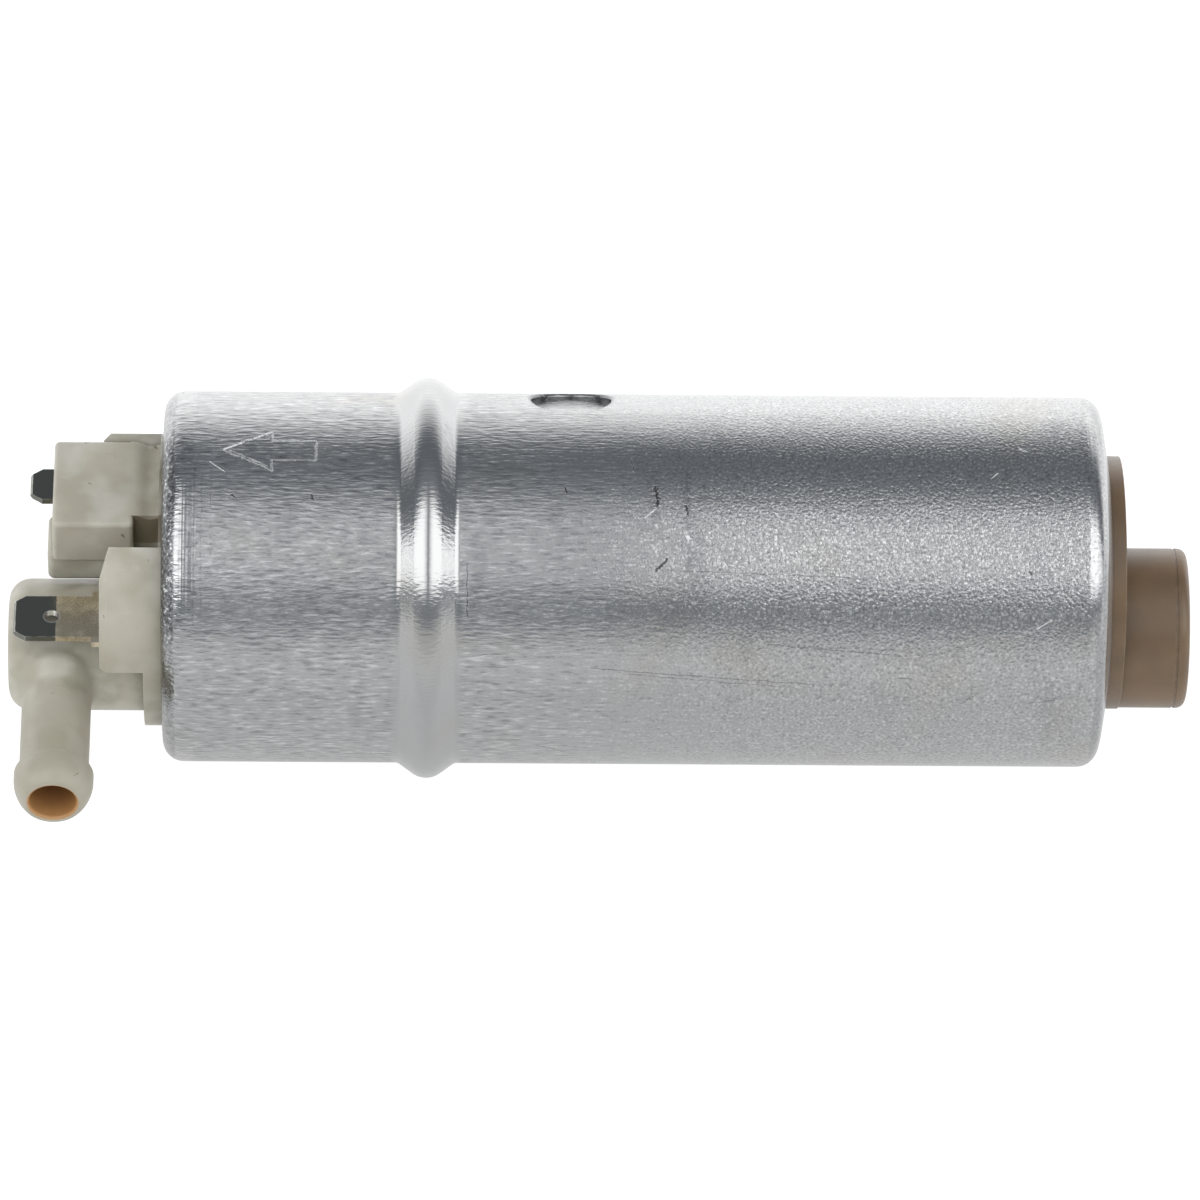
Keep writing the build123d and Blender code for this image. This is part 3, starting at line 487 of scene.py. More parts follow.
canFinish = {
    "colour": (0.405, 0.410, 0.412, 1),
    "smudgeAndShade": (0.22, 0.228, 0.24, 1),
    "warmStain": (0.38, 0.37, 0.335, 1),
    "freshAndGlint": (0.78, 0.79, 0.80, 1),
    "pit": (0.05, 0.052, 0.056, 1),
    # colour of painted shade, for the outlet lip and the dimple
    "paintedShade": (0.15, 0.155, 0.16, 1),
    "roughness": 0.075,
    "roughnessMottle": 0.04,
    "satinRoughness": 0.21,  # where the grain runs in streaks
    "dullRoughness": 0.24,
    "beadRoughness": 0.15,
    "lipRoughness": 0.20,
    "markRoughness": 0.30,
    "blotchSize": 14 * mm,
    "pipSize": 0.34 * mm,
    "streakLength": 5.0,  # in pips
    "pipDepth": 0.080,  # this and the depths below are heights in mm
    "beadPipDepth": 0.032,
    "inletPipDepth": 0.020,
    "lipDepth": 0.08,
    "ringDepth": 0.04,
    "creaseDepth": 0.06,
    "markDepth": 0.02,
    "scratchDepth": 0.006,
    "waveSize": 9 * mm,
    "waveDepth": 0.05,
    "paintedGlint": 0.42,  # how much painted glints on the grain's pips lighten the plating
    "shadow": 1.8,  # times as much where painted shade on the grain darkens it
    "pipTops": (0.52, 0.72),  # of the grain's noise, where the painted glint lightens and the painted shade darkens
    "pipValleys": (0.48, 0.28),
    "streaksFrom": 22.0,  # X in mm: isotropic grain towards the inlet, and streaks past the second place
    "streaksTo": -16.0,
    "beadPlace": -20.1,
    "beadHalf": (3.2, 4.4),  # from the bead's middle in mm, between which its smooth skin ends
    "outletLip": (-48.9, -49.3),  # X in mm where each rolled lip's rough edge starts and is full
    "inletLip": (55.6, 55.8),
    "crease": (55.7, 56.3),
    # a darker band round the inlet lip, beside its lighter face
    "lipBand": (56.3, 56.6, 57.5, 57.1),  # X in mm of the foot and top of both of its edges
    "lipBandShare": 0.35,
    "lipFace": (57.3, 58.0),
    "lipFaceShare": 0.7,
    "lipShadedSide": (-10.0, -5.0, 21.0, 16.0),  # arc lengths in mm between which the outlet lip takes painted shade, on the side towards the camera
    "lipSideShare": (0.7, 0.3),  # how dark the painted shade is there, over how dark it is all round
    "lipShadeShare": 0.85,
    "shiny": (-47.6, -46.6),
    "rings": (-46.4, -47.0),
    "ringStretch": (1.0, 0.02, 0.02),
    "ringScale": 2200.0,
    "smudgeStretch": (1.0, 0.45, 1.0),
    "smudgeScale": 170.0,
    "smudge": (0.56, 0.76),
    "smudgeShare": 0.5,
    "softScale": 1500.0,
    "soft": (0.35, 0.65),
    "softShare": 0.75,
    "stain": (0.52, 0.68),
    "stainShare": 0.35,
    "speckScale": 2600.0,
    "darkSpeck": (0.50, 0.40),
    "darkSpeckShare": 0.7,
    "brightSpeck": (0.58, 0.66),
    "brightSpeckShare": 0.8,
    "dimpleAt": (-3.6, 28.2),  # X and arc length in mm
    "dimpleFade": (5.5, 4.7),  # from its middle in mm, where its painted shade starts and is full
    # where a painted shadow runs along the rim
    "dimpleRim": (4.45, 4.6, 5.05, 4.8),
    "dimpleRimShare": 0.8,
    "dimpleFarSide": (-0.5, 1.5),  # arc in mm past its middle
    "dimpleShares": (0.1, 0.85),  # how much painted shade on the near and the far side
    "strayScratches": {"Turn": 0.06, "Length": 9 * mm, "Width": 0.32 * mm},
    "crossScratches": {"Turn": 0.75, "Length": 5 * mm, "Width": 0.30 * mm},
    "scratchShare": 0.25,
    "hairShare": 0.45,
    "brightShare": 0.75,
    "darkShare": 0.85,
    # the stamped arrow, its lines painted light as highlights on their edges
    "arrow": [  # X and arc length in mm of both ends, and width, here and below
        ((-43.65, 15.96), (-37.95, 19.01), 0.17), ((-43.65, 15.96), (-37.95, 12.91), 0.17),
        ((-37.95, 19.01), (-37.95, 17.46), 0.15), ((-37.95, 12.91), (-37.95, 14.46), 0.15),
        ((-37.95, 17.46), (-32.95, 17.46), 0.15), ((-37.95, 14.46), (-32.95, 14.46), 0.15),
        ((-32.95, 17.46), (-32.95, 14.46), 0.19),
    ],
    "brightMarks": [
        ((-45.1, 14.0), (-43.4, 12.7), 0.06), ((47.7, 17.0), (48.5, 16.5), 0.22),
        ((4.7, 7.1), (6.4, 8.5), 0.13), ((9.4, 4.9), (9.7, 4.6), 0.22), ((44.4, 12.5), (45.1, 13.2), 0.07),
        ((49.4, -5.6), (51.2, -4.4), 0.07),
    ],
    "darkMarks": [
        ((-42.5, 9.6), (-42.3, 9.4), 0.20), ((-43.4, 9.5), (-42.6, 9.6), 0.05),
        ((-33.4, 9.6), (-33.3, 9.2), 0.22), ((-34.9, 9.3), (-32.3, 9.4), 0.06),
        ((-15.6, 1.7), (-15.6, -4.7), 0.08), ((6.0, 0.9), (7.2, 2.3), 0.28), ((5.9, 11.0), (6.1, 8.5), 0.30),
        ((48.6, 1.0), (48.8, 0.8), 0.22), ((9.3, 8.6), (9.6, 7.6), 0.22), ((3.1, 15.2), (3.4, 13.1), 0.10),
        ((-4.4, 10.9), (-4.2, 10.2), 0.16),
    ],
    "softMarks": [  # grey wear that runs round the can
        ((9.3, 12.5), (9.8, 5.0), 0.9), ((10.2, 4.0), (10.4, -3.5), 1.9), ((5.6, 12.0), (5.9, 7.5), 1.0),
        ((-46.8, 13.5), (-46.8, -5.5), 0.24), ((-46.0, 12.0), (-46.0, -4.0), 0.13),
        ((-44.9, 16.0), (-44.9, 2.0), 0.10),
    ],
    "hairMarks": [
        ((18.8, -7.6), (32.6, -8.7), 0.10), ((-1.4, -10.7), (25.0, -12.8), 0.09),
        ((-7.4, -23.7), (-4.0, -25.7), 0.14), ((3.0, -11.4), (21.0, -13.1), 0.07),
        ((7.0, 1.0), (30.0, 0.2), 0.06), ((9.0, 9.3), (27.0, 9.0), 0.07),
        ((48.9, -15.2), (51.9, -14.6), 0.10), ((41.3, -15.2), (43.1, -13.7), 0.10),
        ((33.9, -11.7), (35.3, -11.9), 0.10), ((31.6, -8.1), (33.4, -8.1), 0.08),
    ],
}


# Painted shade in the stamped dimple, darkest past its middle, and a painted shadow along its rim
def paintedDimpleShade(tree, flat, arc, spec):
    x, y = spec["dimpleAt"]
    away = vectorCalc(tree, "SUBTRACT", flat, (x * mm, y * mm, 0))["Vector"]
    away = calc(tree, "DIVIDE", vectorCalc(tree, "LENGTH", away)["Value"], mm)
    dish = smoothStep(tree, away, *spec["dimpleFade"])
    far = smoothStep(tree, calc(tree, "SUBTRACT", arc, y), *spec["dimpleFarSide"])
    dish = times(tree, dish, mixValue(tree, far, *spec["dimpleShares"]))
    rim = between(tree, away, *spec["dimpleRim"])
    return larger(tree, dish, times(tree, rim, spec["dimpleRimShare"]))


def makeCanSteel(spec):
    material, tree, shader, place = newMaterial("platedSteel")
    x = calc(tree, "DIVIDE", axesOf(tree, place)["X"], mm)
    flat = useGroup(tree, unrollGroup, Vector=place)["Place"]
    cloud = useGroup(tree, cloudGroup, Vector=place, Size=spec["blotchSize"])
    bead = calc(tree, "ABSOLUTE", calc(tree, "SUBTRACT", x, spec["beadPlace"]))
    plain = smoothStep(tree, bead, *spec["beadHalf"])
    outletLip = smoothStep(tree, x, *spec["outletLip"])
    inletLip = smoothStep(tree, x, *spec["inletLip"])
    rings = calc(tree, "SUBTRACT", smoothStep(tree, x, *spec["rings"]), outletLip)
    arc = calc(tree, "DIVIDE", axesOf(tree, flat)["Y"], mm)
    # painted shade on the outlet lip, darkest on the side towards the camera
    lipShadedSide = between(tree, arc, *spec["lipShadedSide"])
    paintedLipShade = times(tree, outletLip, calc(tree, "MULTIPLY_ADD", lipShadedSide, *spec["lipSideShare"]))

    # colour: plating, grey smudges, warm stains, grain with painted glints and shade, the lips with painted
    # shade on the outlet lip, painted shade in the dimple, fresh scratches, the arrow with a painted
    # highlight, and dark pits
    smudge = noise(tree, stretched(tree, flat, spec["smudgeStretch"]), spec["smudgeScale"], detail=4.0)
    smudge = times(tree, smoothStep(tree, smudge, *spec["smudge"]), spec["smudgeShare"])
    soft = noise(tree, flat, spec["softScale"], detail=3.0)
    soft = times(tree, markMask(tree, flat, spec["softMarks"]), smoothStep(tree, soft, *spec["soft"]))
    smudge = larger(tree, smudge, times(tree, soft, spec["softShare"]))
    colour = mixColour(tree, smudge, spec["colour"], spec["smudgeAndShade"])
    stain = smoothStep(tree, cloud["Broad"], *spec["stain"])
    colour = tinted(tree, stain, spec["stainShare"], colour, spec["warmStain"])
    streakShare = smoothStep(tree, x, spec["streaksFrom"], spec["streaksTo"])
    grain = useGroup(tree, grainGroup, Vector=place, Size=spec["pipSize"], Streaks=streakShare,
                     Length=spec["streakLength"])["Height"]
    # painted glints and painted shade: the grain's pips lighten and darken the plating as if they caught the
    # soft boxes
    strength = times(tree, plain, spec["paintedGlint"])
    high = times(tree, smoothStep(tree, grain, *spec["pipTops"]), strength)
    low = times(tree, smoothStep(tree, grain, *spec["pipValleys"]), times(tree, strength, spec["shadow"]))
    colour = mixColour(tree, high, colour, spec["freshAndGlint"])
    colour = mixColour(tree, low, colour, spec["smudgeAndShade"])
    # painted shade over the outlet lip
    colour = tinted(tree, paintedLipShade, spec["lipShadeShare"], colour, spec["paintedShade"])
    speck = noise(tree, place, spec["speckScale"], detail=3.0)
    lipDark = times(tree, paintedLipShade, smoothStep(tree, speck, *spec["darkSpeck"]))
    colour = tinted(tree, lipDark, spec["darkSpeckShare"], colour, spec["pit"])
    lipBright = times(tree, paintedLipShade, smoothStep(tree, speck, *spec["brightSpeck"]))
    colour = tinted(tree, lipBright, spec["brightSpeckShare"], colour, spec["freshAndGlint"])
    # the inlet lip: a lighter face and a darker band beside it
    lipFace = smoothStep(tree, x, *spec["lipFace"])
    colour = tinted(tree, lipFace, spec["lipFaceShare"], colour, spec["freshAndGlint"])
    band = between(tree, x, *spec["lipBand"])
    colour = tinted(tree, band, spec["lipBandShare"], colour, spec["smudgeAndShade"])
    # painted shade in the dimple
    colour = mixColour(tree, paintedDimpleShade(tree, flat, arc, spec), colour, spec["paintedShade"])
    # fresh scratches, and the arrow's lines as a painted highlight
    bright = markMask(tree, flat, spec["brightMarks"] + spec["arrow"])
    dark = markMask(tree, flat, spec["darkMarks"])
    hair = markMask(tree, flat, spec["hairMarks"])
    stray = useGroup(tree, scratchGroup, Place=flat, **spec["strayScratches"])["Mask"]
    cross = useGroup(tree, scratchGroup, Place=flat, **spec["crossScratches"])["Mask"]
    stray = times(tree, larger(tree, stray, cross), spec["scratchShare"])
    fine = larger(tree, times(tree, hair, spec["hairShare"]), stray)
    colour = mixColour(tree, fine, colour, spec["pit"])
    colour = tinted(tree, bright, spec["brightShare"], colour, spec["freshAndGlint"])
    colour = tinted(tree, dark, spec["darkShare"], colour, spec["pit"])
    tree.links.new(colour, shader.inputs["Base Color"])

    # roughness: low, so that each pip of the grain glints by itself, satin along streaks, dull where smudged
    satin = times(tree, times(tree, streakShare, plain), smoothStep(tree, x, *spec["shiny"]))
    rough = mixValue(tree, satin, spec["roughness"], spec["satinRoughness"])
    rough = calc(tree, "MULTIPLY_ADD", cloud["Fine"], spec["roughnessMottle"], rough)
    rough = mixValue(tree, smudge, rough, spec["dullRoughness"])
    rough = mixValue(tree, plain, spec["beadRoughness"], rough)
    rough = mixValue(tree, inletLip, rough, spec["lipRoughness"])
    scraped = larger(tree, larger(tree, bright, paintedLipShade), lipFace)
    rough = mixValue(tree, scraped, rough, spec["markRoughness"])
    tree.links.new(rough, shader.inputs["Roughness"])
    shader.inputs["Metallic"].default_value = 1.0

    # relief: grain, slow waves of the sheet, rings beside the outlet lip, the crease and the marks' grooves
    depth = mixValue(tree, plain, spec["beadPipDepth"], spec["pipDepth"])
    depth = mixValue(tree, inletLip, depth, spec["inletPipDepth"])
    depth = mixValue(tree, outletLip, depth, spec["lipDepth"])
    height = times(tree, grain, depth)
    wave = noise(tree, place, 1 / spec["waveSize"], detail=1.0)
    height = calc(tree, "MULTIPLY_ADD", wave, spec["waveDepth"], height)
    ringNoise = noise(tree, stretched(tree, place, spec["ringStretch"]), spec["ringScale"], detail=1.0)
    height = calc(tree, "MULTIPLY_ADD", times(tree, rings, ringNoise), spec["ringDepth"], height)
    height = calc(tree, "MULTIPLY_ADD", smoothStep(tree, x, *spec["crease"]), -spec["creaseDepth"], height)
    height = calc(tree, "MULTIPLY_ADD", larger(tree, dark, bright), -spec["markDepth"], height)
    height = calc(tree, "MULTIPLY_ADD", fine, -spec["scratchDepth"], height)
    setBump(tree, shader, height, mm)
    return material


# Moulded plastics

# the grime colour serves painted shade in inner corners and dirt flecks
plastics = {
    "creamPlastic": {
        "colour": (0.445, 0.421, 0.352, 1), "deep": (0.325, 0.300, 0.232, 1),
        "rubbed": (0.54, 0.53, 0.48, 1), "grimeAndShade": (0.095, 0.080, 0.050, 1), "cornerShade": 0.85,
        "roughness": 0.38, "grain": 0.45 * mm, "depth": 0.016 * mm,
    },
    "brownPlastic": {
        "colour": (0.162, 0.104, 0.057, 1), "deep": (0.118, 0.078, 0.046, 1),
        "rubbed": (0.22, 0.165, 0.115, 1), "grimeAndShade": (0.050, 0.036, 0.024, 1), "cornerShade": 0.5,
        "roughness": 0.33, "grain": 0.45 * mm, "depth": 0.012 * mm,
    },
    "holderPlastic": {
        "colour": (0.045, 0.045, 0.048, 1), "deep": (0.03, 0.03, 0.032, 1), "rubbed": (0.09, 0.09, 0.09, 1),
        "grimeAndShade": (0.02, 0.018, 0.015, 1), "cornerShade": 0.4, "roughness": 0.42, "grain": 0.4 * mm,
        "depth": 0.006 * mm,
    },
    "valvePlastic": {
        "colour": (0.62, 0.61, 0.57, 1), "deep": (0.52, 0.50, 0.45, 1), "rubbed": (0.70, 0.69, 0.66, 1),
        "grimeAndShade": (0.30, 0.26, 0.18, 1), "cornerShade": 0.4, "roughness": 0.35, "grain": 0.3 * mm,
        "depth": 0.003 * mm,
    },
    "insulation": {
        "colour": (0.16, 0.24, 0.30, 1), "deep": (0.11, 0.17, 0.23, 1), "rubbed": (0.24, 0.33, 0.38, 1),
        "grimeAndShade": (0.07, 0.09, 0.10, 1), "cornerShade": 0.4, "roughness": 0.5, "grain": 0.4 * mm,
        "depth": 0.008 * mm,
    },
    "commutatorResin": {
        "colour": (0.05, 0.028, 0.018, 1), "deep": (0.03, 0.018, 0.012, 1), "rubbed": (0.11, 0.07, 0.05, 1),
        "grimeAndShade": (0.02, 0.014, 0.01, 1), "cornerShade": 0.4, "roughness": 0.4, "grain": 0.3 * mm,
        "depth": 0.005 * mm,
    },
}
plasticAge = {  # a range holds the values of a noise between which its tint starts and is full
    "blotchSize": 7 * mm,
    "blotch": (0.38, 0.66),
    "blotchShare": 0.7,
    "speck": (0.60, 0.74),
    "speckShare": 0.35,
    "wear": {"Radius": 0.35 * mm, "Break": 0.42},
    "wearShare": 0.6,
    "cornerShadeReach": 3.2 * mm,
    "roughnessSpread": 0.18,
    "refraction": 1.48,
}
capDetail = {
    "tintScale": 190.0,
    "tint": (0.46, 0.62),
    "tintBelow": (0.004, -0.002),  # Z where the greenish tint starts and is full
    "tintShare": 0.7,
    "tintColour": (0.33, 0.325, 0.245, 1),
    "patchScale": 150.0,
    "patch": (0.50, 0.66),
    "patchShare": 0.45,
    "scuffStretch": (0.6, 1.0, 1.0),
    "scuffScale": 420.0,
    "scuff": (0.56, 0.72),
    "scuffShare": 0.4,
    "nippleDeepens": (-0.012, -0.020),  # Y where the nipple's deeper colour starts and is full
    "nippleShare": 0.6,
    "pocketX": (-54.2, -54.0, -49.8, -50.0),  # edges of the pocket that is painted in shade, in mm
    "pocketHeight": (3.7, 3.9, 7.0, 6.8),  # and height up the picture
    "pocketShade": (0.13, 0.105, 0.058, 1),
    "pocketShare": 0.75,
    "fleckShare": 0.7,
    "flecks": [  # X and height up the picture in mm of both ends, and width
        ((-51.8, 15.0), (-51.5, 14.8), 0.16), ((-55.2, 4.7), (-55.0, 4.4), 0.18),
        ((-59.3, 10.6), (-59.0, 10.5), 0.07), ((-52.1, 1.8), (-52.0, 1.5), 0.07),
        ((-59.9, 15.4), (-59.4, 15.5), 0.06), ((-57.2, -4.6), (-57.1, -4.9), 0.08),
        ((-63.4, -13.6), (-62.9, -13.5), 0.05), ((-60.3, -22.9), (-59.9, -22.6), 0.08),
    ],
    "amber": (0.41, 0.220, 0.086, 1),  # what fuel leaves in the nipple
    "amberRadius": (3.1 * mm, 2.85 * mm),  # from the nipple's axis, where the stain starts and is full
    "amberBefore": (-0.016, -0.018),  # Y where the stain starts and is full
    "amberScale": 500.0,
    "amberRange": (0.05, 0.35),
}


# Mottled plastic, lighter where it is rubbed and darker with painted shade and dirt in inner corners; returns
# what the caps build on
def plasticBase(name, spec, age=plasticAge):
    material, tree, shader, place = newMaterial(name)
    cloud = useGroup(tree, cloudGroup, Vector=place, Size=age["blotchSize"])
    grain = useGroup(tree, grainGroup, Vector=place, Size=spec["grain"], Streaks=0.0, Length=1.0)
    worn = useGroup(tree, wearGroup, Vector=place, **age["wear"])
    cornerShade = useGroup(tree, cornerShadeGroup, Vector=place, Reach=age["cornerShadeReach"])
    blotch = smoothStep(tree, cloud["Broad"], *age["blotch"])
    colour = tinted(tree, blotch, age["blotchShare"], spec["colour"], spec["deep"])
    speck = smoothStep(tree, cloud["Fine"], *age["speck"])
    colour = tinted(tree, speck, age["speckShare"], colour, spec["deep"])
    colour = tinted(tree, worn["Mask"], age["wearShare"], colour, spec["rubbed"])
    # painted shade and dirt in inner corners
    colour = tinted(tree, cornerShade["Mask"], spec["cornerShade"], colour, spec["grimeAndShade"])
    spread = age["roughnessSpread"]
    rough = calc(tree, "MULTIPLY_ADD", cloud["Fine"], spread, spec["roughness"] - spread / 2)
    tree.links.new(rough, shader.inputs["Roughness"])
    shader.inputs["IOR"].default_value = age["refraction"]
    setBump(tree, shader, grain["Height"], spec["depth"])
    return material, tree, shader, place, colour


def makePlastic(name, spec):
    material, tree, shader, place, colour = plasticBase(name, spec)
    tree.links.new(colour, shader.inputs["Base Color"])
    return material


# The outlet cap adds a greenish tint low down, pale scuffs, painted shade in a pocket, flecks and an amber
# bore
def makeCapPlastic(spec, detail):
    material, tree, shader, place, colour = plasticBase("creamPlastic", spec)
    axes = axesOf(tree, place)
    flat = useGroup(tree, projectGroup, Vector=place)["Place"]
    tint = smoothStep(tree, noise(tree, place, detail["tintScale"], detail=3.0), *detail["tint"])
    tint = times(tree, tint, smoothStep(tree, axes["Z"], *detail["tintBelow"]))
    colour = tinted(tree, tint, detail["tintShare"], colour, detail["tintColour"])
    patch = smoothStep(tree, noise(tree, place, detail["patchScale"], detail=2.0), *detail["patch"])
    colour = tinted(tree, patch, detail["patchShare"], colour, spec["rubbed"])
    scuff = noise(tree, stretched(tree, flat, detail["scuffStretch"]), detail["scuffScale"], detail=4.0)
    scuff = smoothStep(tree, scuff, *detail["scuff"])
    colour = tinted(tree, scuff, detail["scuffShare"], colour, spec["rubbed"])
    nipple = smoothStep(tree, axes["Y"], *detail["nippleDeepens"])
    colour = tinted(tree, nipple, detail["nippleShare"], colour, spec["deep"])
    # painted shade in the pocket beside the latch block
    across = between(tree, axes["X"], *[edge * mm for edge in detail["pocketX"]])
    upwards = between(tree, axesOf(tree, flat)["Y"], *[edge * mm for edge in detail["pocketHeight"]])
    pocket = times(tree, across, upwards)
    colour = tinted(tree, pocket, detail["pocketShare"], colour, detail["pocketShade"])
    flecks = markMask(tree, flat, detail["flecks"])
    colour = tinted(tree, flecks, detail["fleckShare"], colour, spec["grimeAndShade"])
    besideX = calc(tree, "SUBTRACT", axes["X"], nippleAxis[0])
    besideZ = calc(tree, "SUBTRACT", axes["Z"], nippleAxis[2])
    inBore = smoothStep(tree, distance(tree, besideX, besideZ), *detail["amberRadius"])
    inBore = times(tree, inBore, smoothStep(tree, axes["Y"], *detail["amberBefore"]))
    stain = smoothStep(tree, noise(tree, place, detail["amberScale"], detail=3.0), *detail["amberRange"])
    colour = mixColour(tree, times(tree, inBore, stain), colour, detail["amber"])
    tree.links.new(colour, shader.inputs["Base Color"])
    return material


# Terminal blades: a painted dark reflection on the tip, a painted highlight in the hole and round its rim,
# and bright cut edges

bladeFinish = {
    "tinned": (0.76, 0.67, 0.51, 1), "dull": (0.55, 0.48, 0.355, 1), "tip": (0.18, 0.185, 0.165, 1),
    "bright": (0.86, 0.85, 0.82, 1), "blotchSize": 3 * mm, "blotch": (0.40, 0.62),
    "roughness": 0.27, "roughnessSpread": 0.16, "tipRoughness": 0.18,
    "grain": {"Size": 0.3 * mm, "Streaks": 0.6, "Length": 5.0}, "grainDepth": 0.012 * mm,
    "wear": {"Radius": 0.2 * mm, "Break": 0.38}, "wearShare": 0.5,
    "tipBefore": (-0.06265, -0.0628),  # X where the painted dark reflection on the tip starts and is full
    "ragged": 0.15 * mm,  # how far mottling moves that edge
    "holeAt": (-0.0633, -0.01043), "holeRim": (1.02 * mm, 0.92 * mm),
}


def makeBlade(spec):
    material, tree, shader, place = newMaterial("tinnedBrass")
    axes = axesOf(tree, place)
    cloud = useGroup(tree, cloudGroup, Vector=place, Size=spec["blotchSize"])
    grain = useGroup(tree, grainGroup, Vector=place, **spec["grain"])
    worn = useGroup(tree, wearGroup, Vector=place, **spec["wear"])
    blotch = smoothStep(tree, cloud["Broad"], *spec["blotch"])
    colour = mixColour(tree, blotch, spec["tinned"], spec["dull"])
    # painted dark reflection over the blade's tip
    waver = calc(tree, "MULTIPLY_ADD", cloud["Fine"], spec["ragged"], axes["X"])
    tip = smoothStep(tree, waver, *spec["tipBefore"])
    colour = mixColour(tree, tip, colour, spec["tip"])
    # painted highlight in the hole and round its rim
    besideX = calc(tree, "SUBTRACT", axes["X"], spec["holeAt"][0])
    besideY = calc(tree, "SUBTRACT", axes["Y"], spec["holeAt"][1])
    holeHighlight = smoothStep(tree, distance(tree, besideX, besideY), *spec["holeRim"])
    bright = larger(tree, holeHighlight, times(tree, worn["Mask"], spec["wearShare"]))
    colour = mixColour(tree, bright, colour, spec["bright"])
    tree.links.new(colour, shader.inputs["Base Color"])
    spread = spec["roughnessSpread"]
    rough = calc(tree, "MULTIPLY_ADD", cloud["Fine"], spread, spec["roughness"] - spread / 2)
    tree.links.new(mixValue(tree, tip, rough, spec["tipRoughness"]), shader.inputs["Roughness"])
    shader.inputs["Metallic"].default_value = 1.0
    setBump(tree, shader, grain["Height"], spec["grainDepth"])
    return material


# Metals and the rest of the inner pieces

metals = {
    "springSteel": {
        "colour": (0.50, 0.50, 0.50, 1), "deep": (0.30, 0.30, 0.31, 1), "roughness": 0.28, "streaks": 0.2,
    },
    "copper": {
        "colour": (0.72, 0.33, 0.17, 1), "deep": (0.45, 0.17, 0.08, 1), "roughness": 0.3, "streaks": 0.3,
    },
    "sinteredBronze": {
        "colour": (0.55, 0.37, 0.17, 1), "deep": (0.30, 0.18, 0.08, 1), "roughness": 0.5, "streaks": 0.0,
    },
    "groundSteel": {
        "colour": (0.62, 0.62, 0.63, 1), "deep": (0.48, 0.48, 0.50, 1), "roughness": 0.16, "streaks": 0.6,
    },
    "electricalSheet": {
        "colour": (0.30, 0.31, 0.34, 1), "deep": (0.18, 0.19, 0.22, 1), "roughness": 0.42, "streaks": 0.0,
    },
    "pumpAluminium": {
        "colour": (0.62, 0.63, 0.64, 1), "deep": (0.45, 0.46, 0.47, 1), "roughness": 0.34, "streaks": 0.3,
    },
    "sinteredSteel": {
        "colour": (0.34, 0.34, 0.35, 1), "deep": (0.20, 0.20, 0.21, 1), "roughness": 0.45, "streaks": 0.0,
    },
    "valveBrass": {
        "colour": (0.66, 0.49, 0.22, 1), "deep": (0.44, 0.30, 0.12, 1), "roughness": 0.26, "streaks": 0.4,
    },
}
dulls = {
    "rubber": {
        "colour": (0.022, 0.022, 0.023, 1), "deep": (0.012, 0.012, 0.012, 1),
        "roughness": 0.62, "streaks": 0.0,
    },
    "carbon": {
        "colour": (0.035, 0.035, 0.037, 1), "deep": (0.016, 0.016, 0.017, 1),
        "roughness": 0.5, "streaks": 0.0,
    },
    "ferrite": {
        "colour": (0.055, 0.055, 0.058, 1), "deep": (0.030, 0.030, 0.033, 1),
        "roughness": 0.55, "streaks": 0.0,
    },
}
innerFinish = {
    "blotchSize": 5 * mm,
    "blotch": (0.42, 0.70),
    "grainSize": 0.25 * mm,
    "streakLength": 6.0,
    "roughnessSpread": 0.2,
    "grainDepth": 0.005 * mm,
}


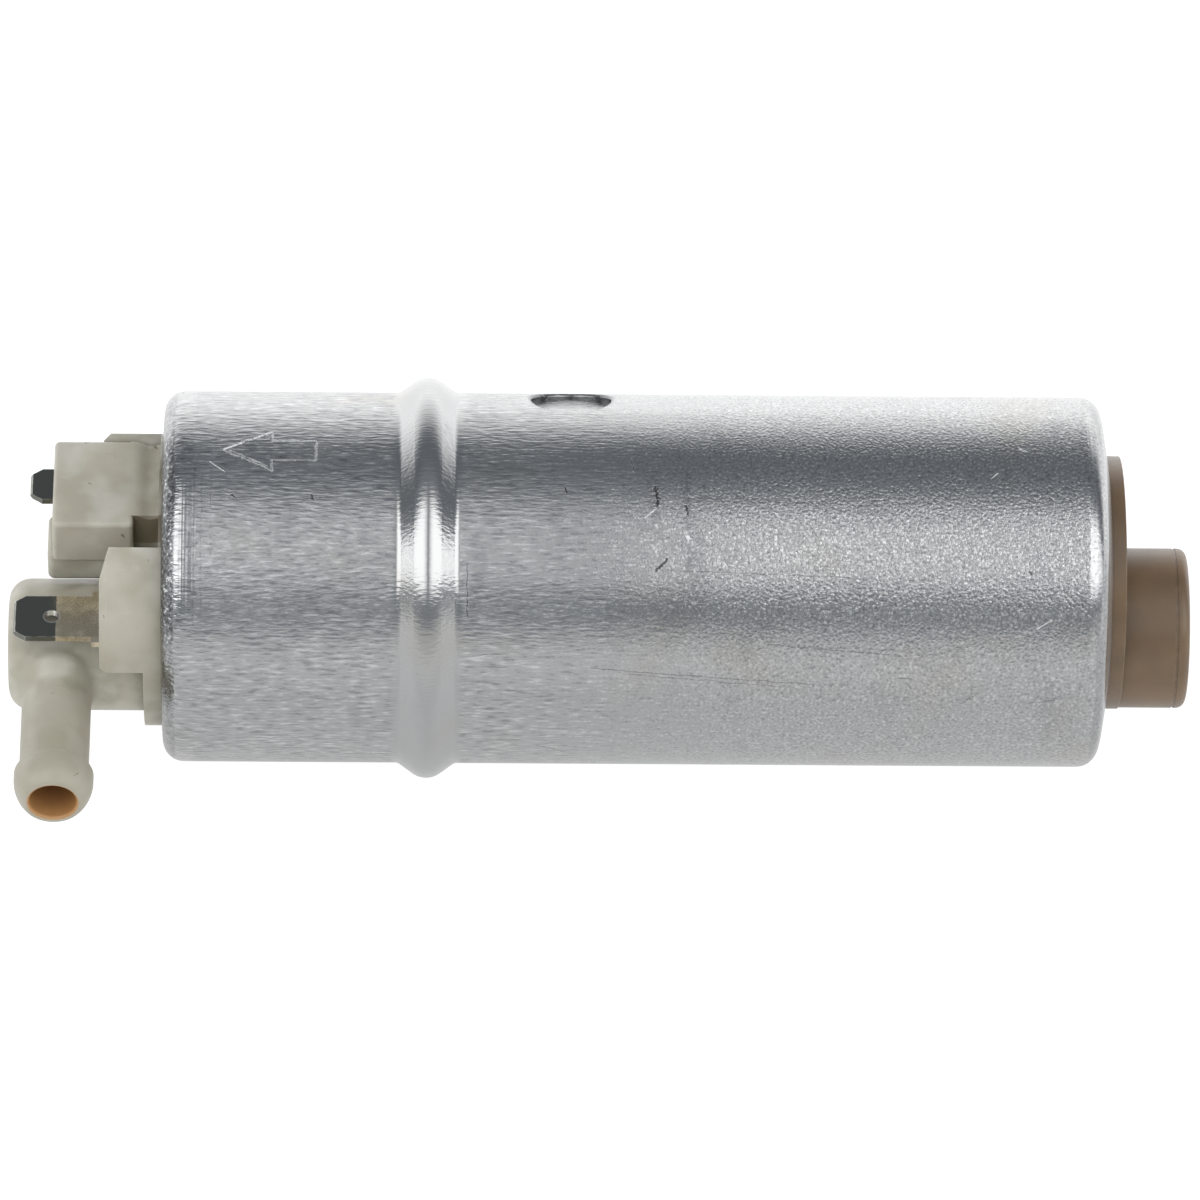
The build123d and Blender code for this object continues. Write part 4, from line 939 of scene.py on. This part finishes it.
def makeInnerFinish(name, spec, metallic, surface=innerFinish):
    material, tree, shader, place = newMaterial(name)
    cloud = useGroup(tree, cloudGroup, Vector=place, Size=surface["blotchSize"])
    grain = useGroup(tree, grainGroup, Vector=place, Size=surface["grainSize"], Streaks=spec["streaks"],
                     Length=surface["streakLength"])
    blotch = smoothStep(tree, cloud["Broad"], *surface["blotch"])
    tree.links.new(mixColour(tree, blotch, spec["colour"], spec["deep"]), shader.inputs["Base Color"])
    spread = surface["roughnessSpread"]
    rough = calc(tree, "MULTIPLY_ADD", cloud["Fine"], spread, spec["roughness"] - spread / 2)
    tree.links.new(rough, shader.inputs["Roughness"])
    shader.inputs["Metallic"].default_value = metallic
    setBump(tree, shader, grain["Height"], surface["grainDepth"])
    return material


finishes = {"platedSteel": makeCanSteel(canFinish), "tinnedBrass": makeBlade(bladeFinish)}
finishes |= {name: makePlastic(name, spec) for name, spec in plastics.items() if name != "creamPlastic"}
finishes["creamPlastic"] = makeCapPlastic(plastics["creamPlastic"], capDetail)
finishes |= {name: makeInnerFinish(name, spec, 1.0) for name, spec in metals.items()}
finishes |= {name: makeInnerFinish(name, spec, 0.0) for name, spec in dulls.items()}
print("finishes:", len(finishes))


# Which finish each piece takes

dressed = {
    "platedSteel": ["can"],
    "creamPlastic": ["outlet_cap"],
    "brownPlastic": ["inlet_cover"],
    "holderPlastic": ["brush_holder"],
    "tinnedBrass": ["terminal_positive", "terminal_negative"],
    "rubber": ["cap_seal", "inlet_seal", "check_valve_seal"],
    "carbon": ["brush_positive", "brush_negative"],
    "springSteel": ["brush_spring_positive", "brush_spring_negative", "check_valve_spring",
                    "relief_valve_spring", "magnet_clips"],
    "copper": ["brush_lead_positive", "brush_lead_negative", "choke_coil_positive", "choke_coil_negative",
               "commutator_segments", "armature_winding"],
    "ferrite": ["magnet_north", "magnet_south", "choke_core_positive", "choke_core_negative"],
    "sinteredBronze": ["upper_bearing", "lower_bearing"],
    "groundSteel": ["armature_shaft", "dowel_pins", "relief_valve_ball", "thrust_washers"],
    "electricalSheet": ["lamination_stack"],
    "insulation": ["end_insulators"],
    "commutatorResin": ["commutator_hub"],
    "pumpAluminium": ["middle_plate", "pump_ring"],
    "sinteredSteel": ["inner_rotor", "outer_rotor", "spacer_sleeve"],
    "valveBrass": ["check_valve_seat", "relief_valve_seat", "relief_valve_stop"],
    "valvePlastic": ["check_valve_poppet"],
}
for finish, names in dressed.items():
    for name in names:
        for slot in frame["nodes"][name].material_slots:
            slot.material = finishes[finish]
print("nodes dressed:", sum(len(names) for names in dressed.values()))
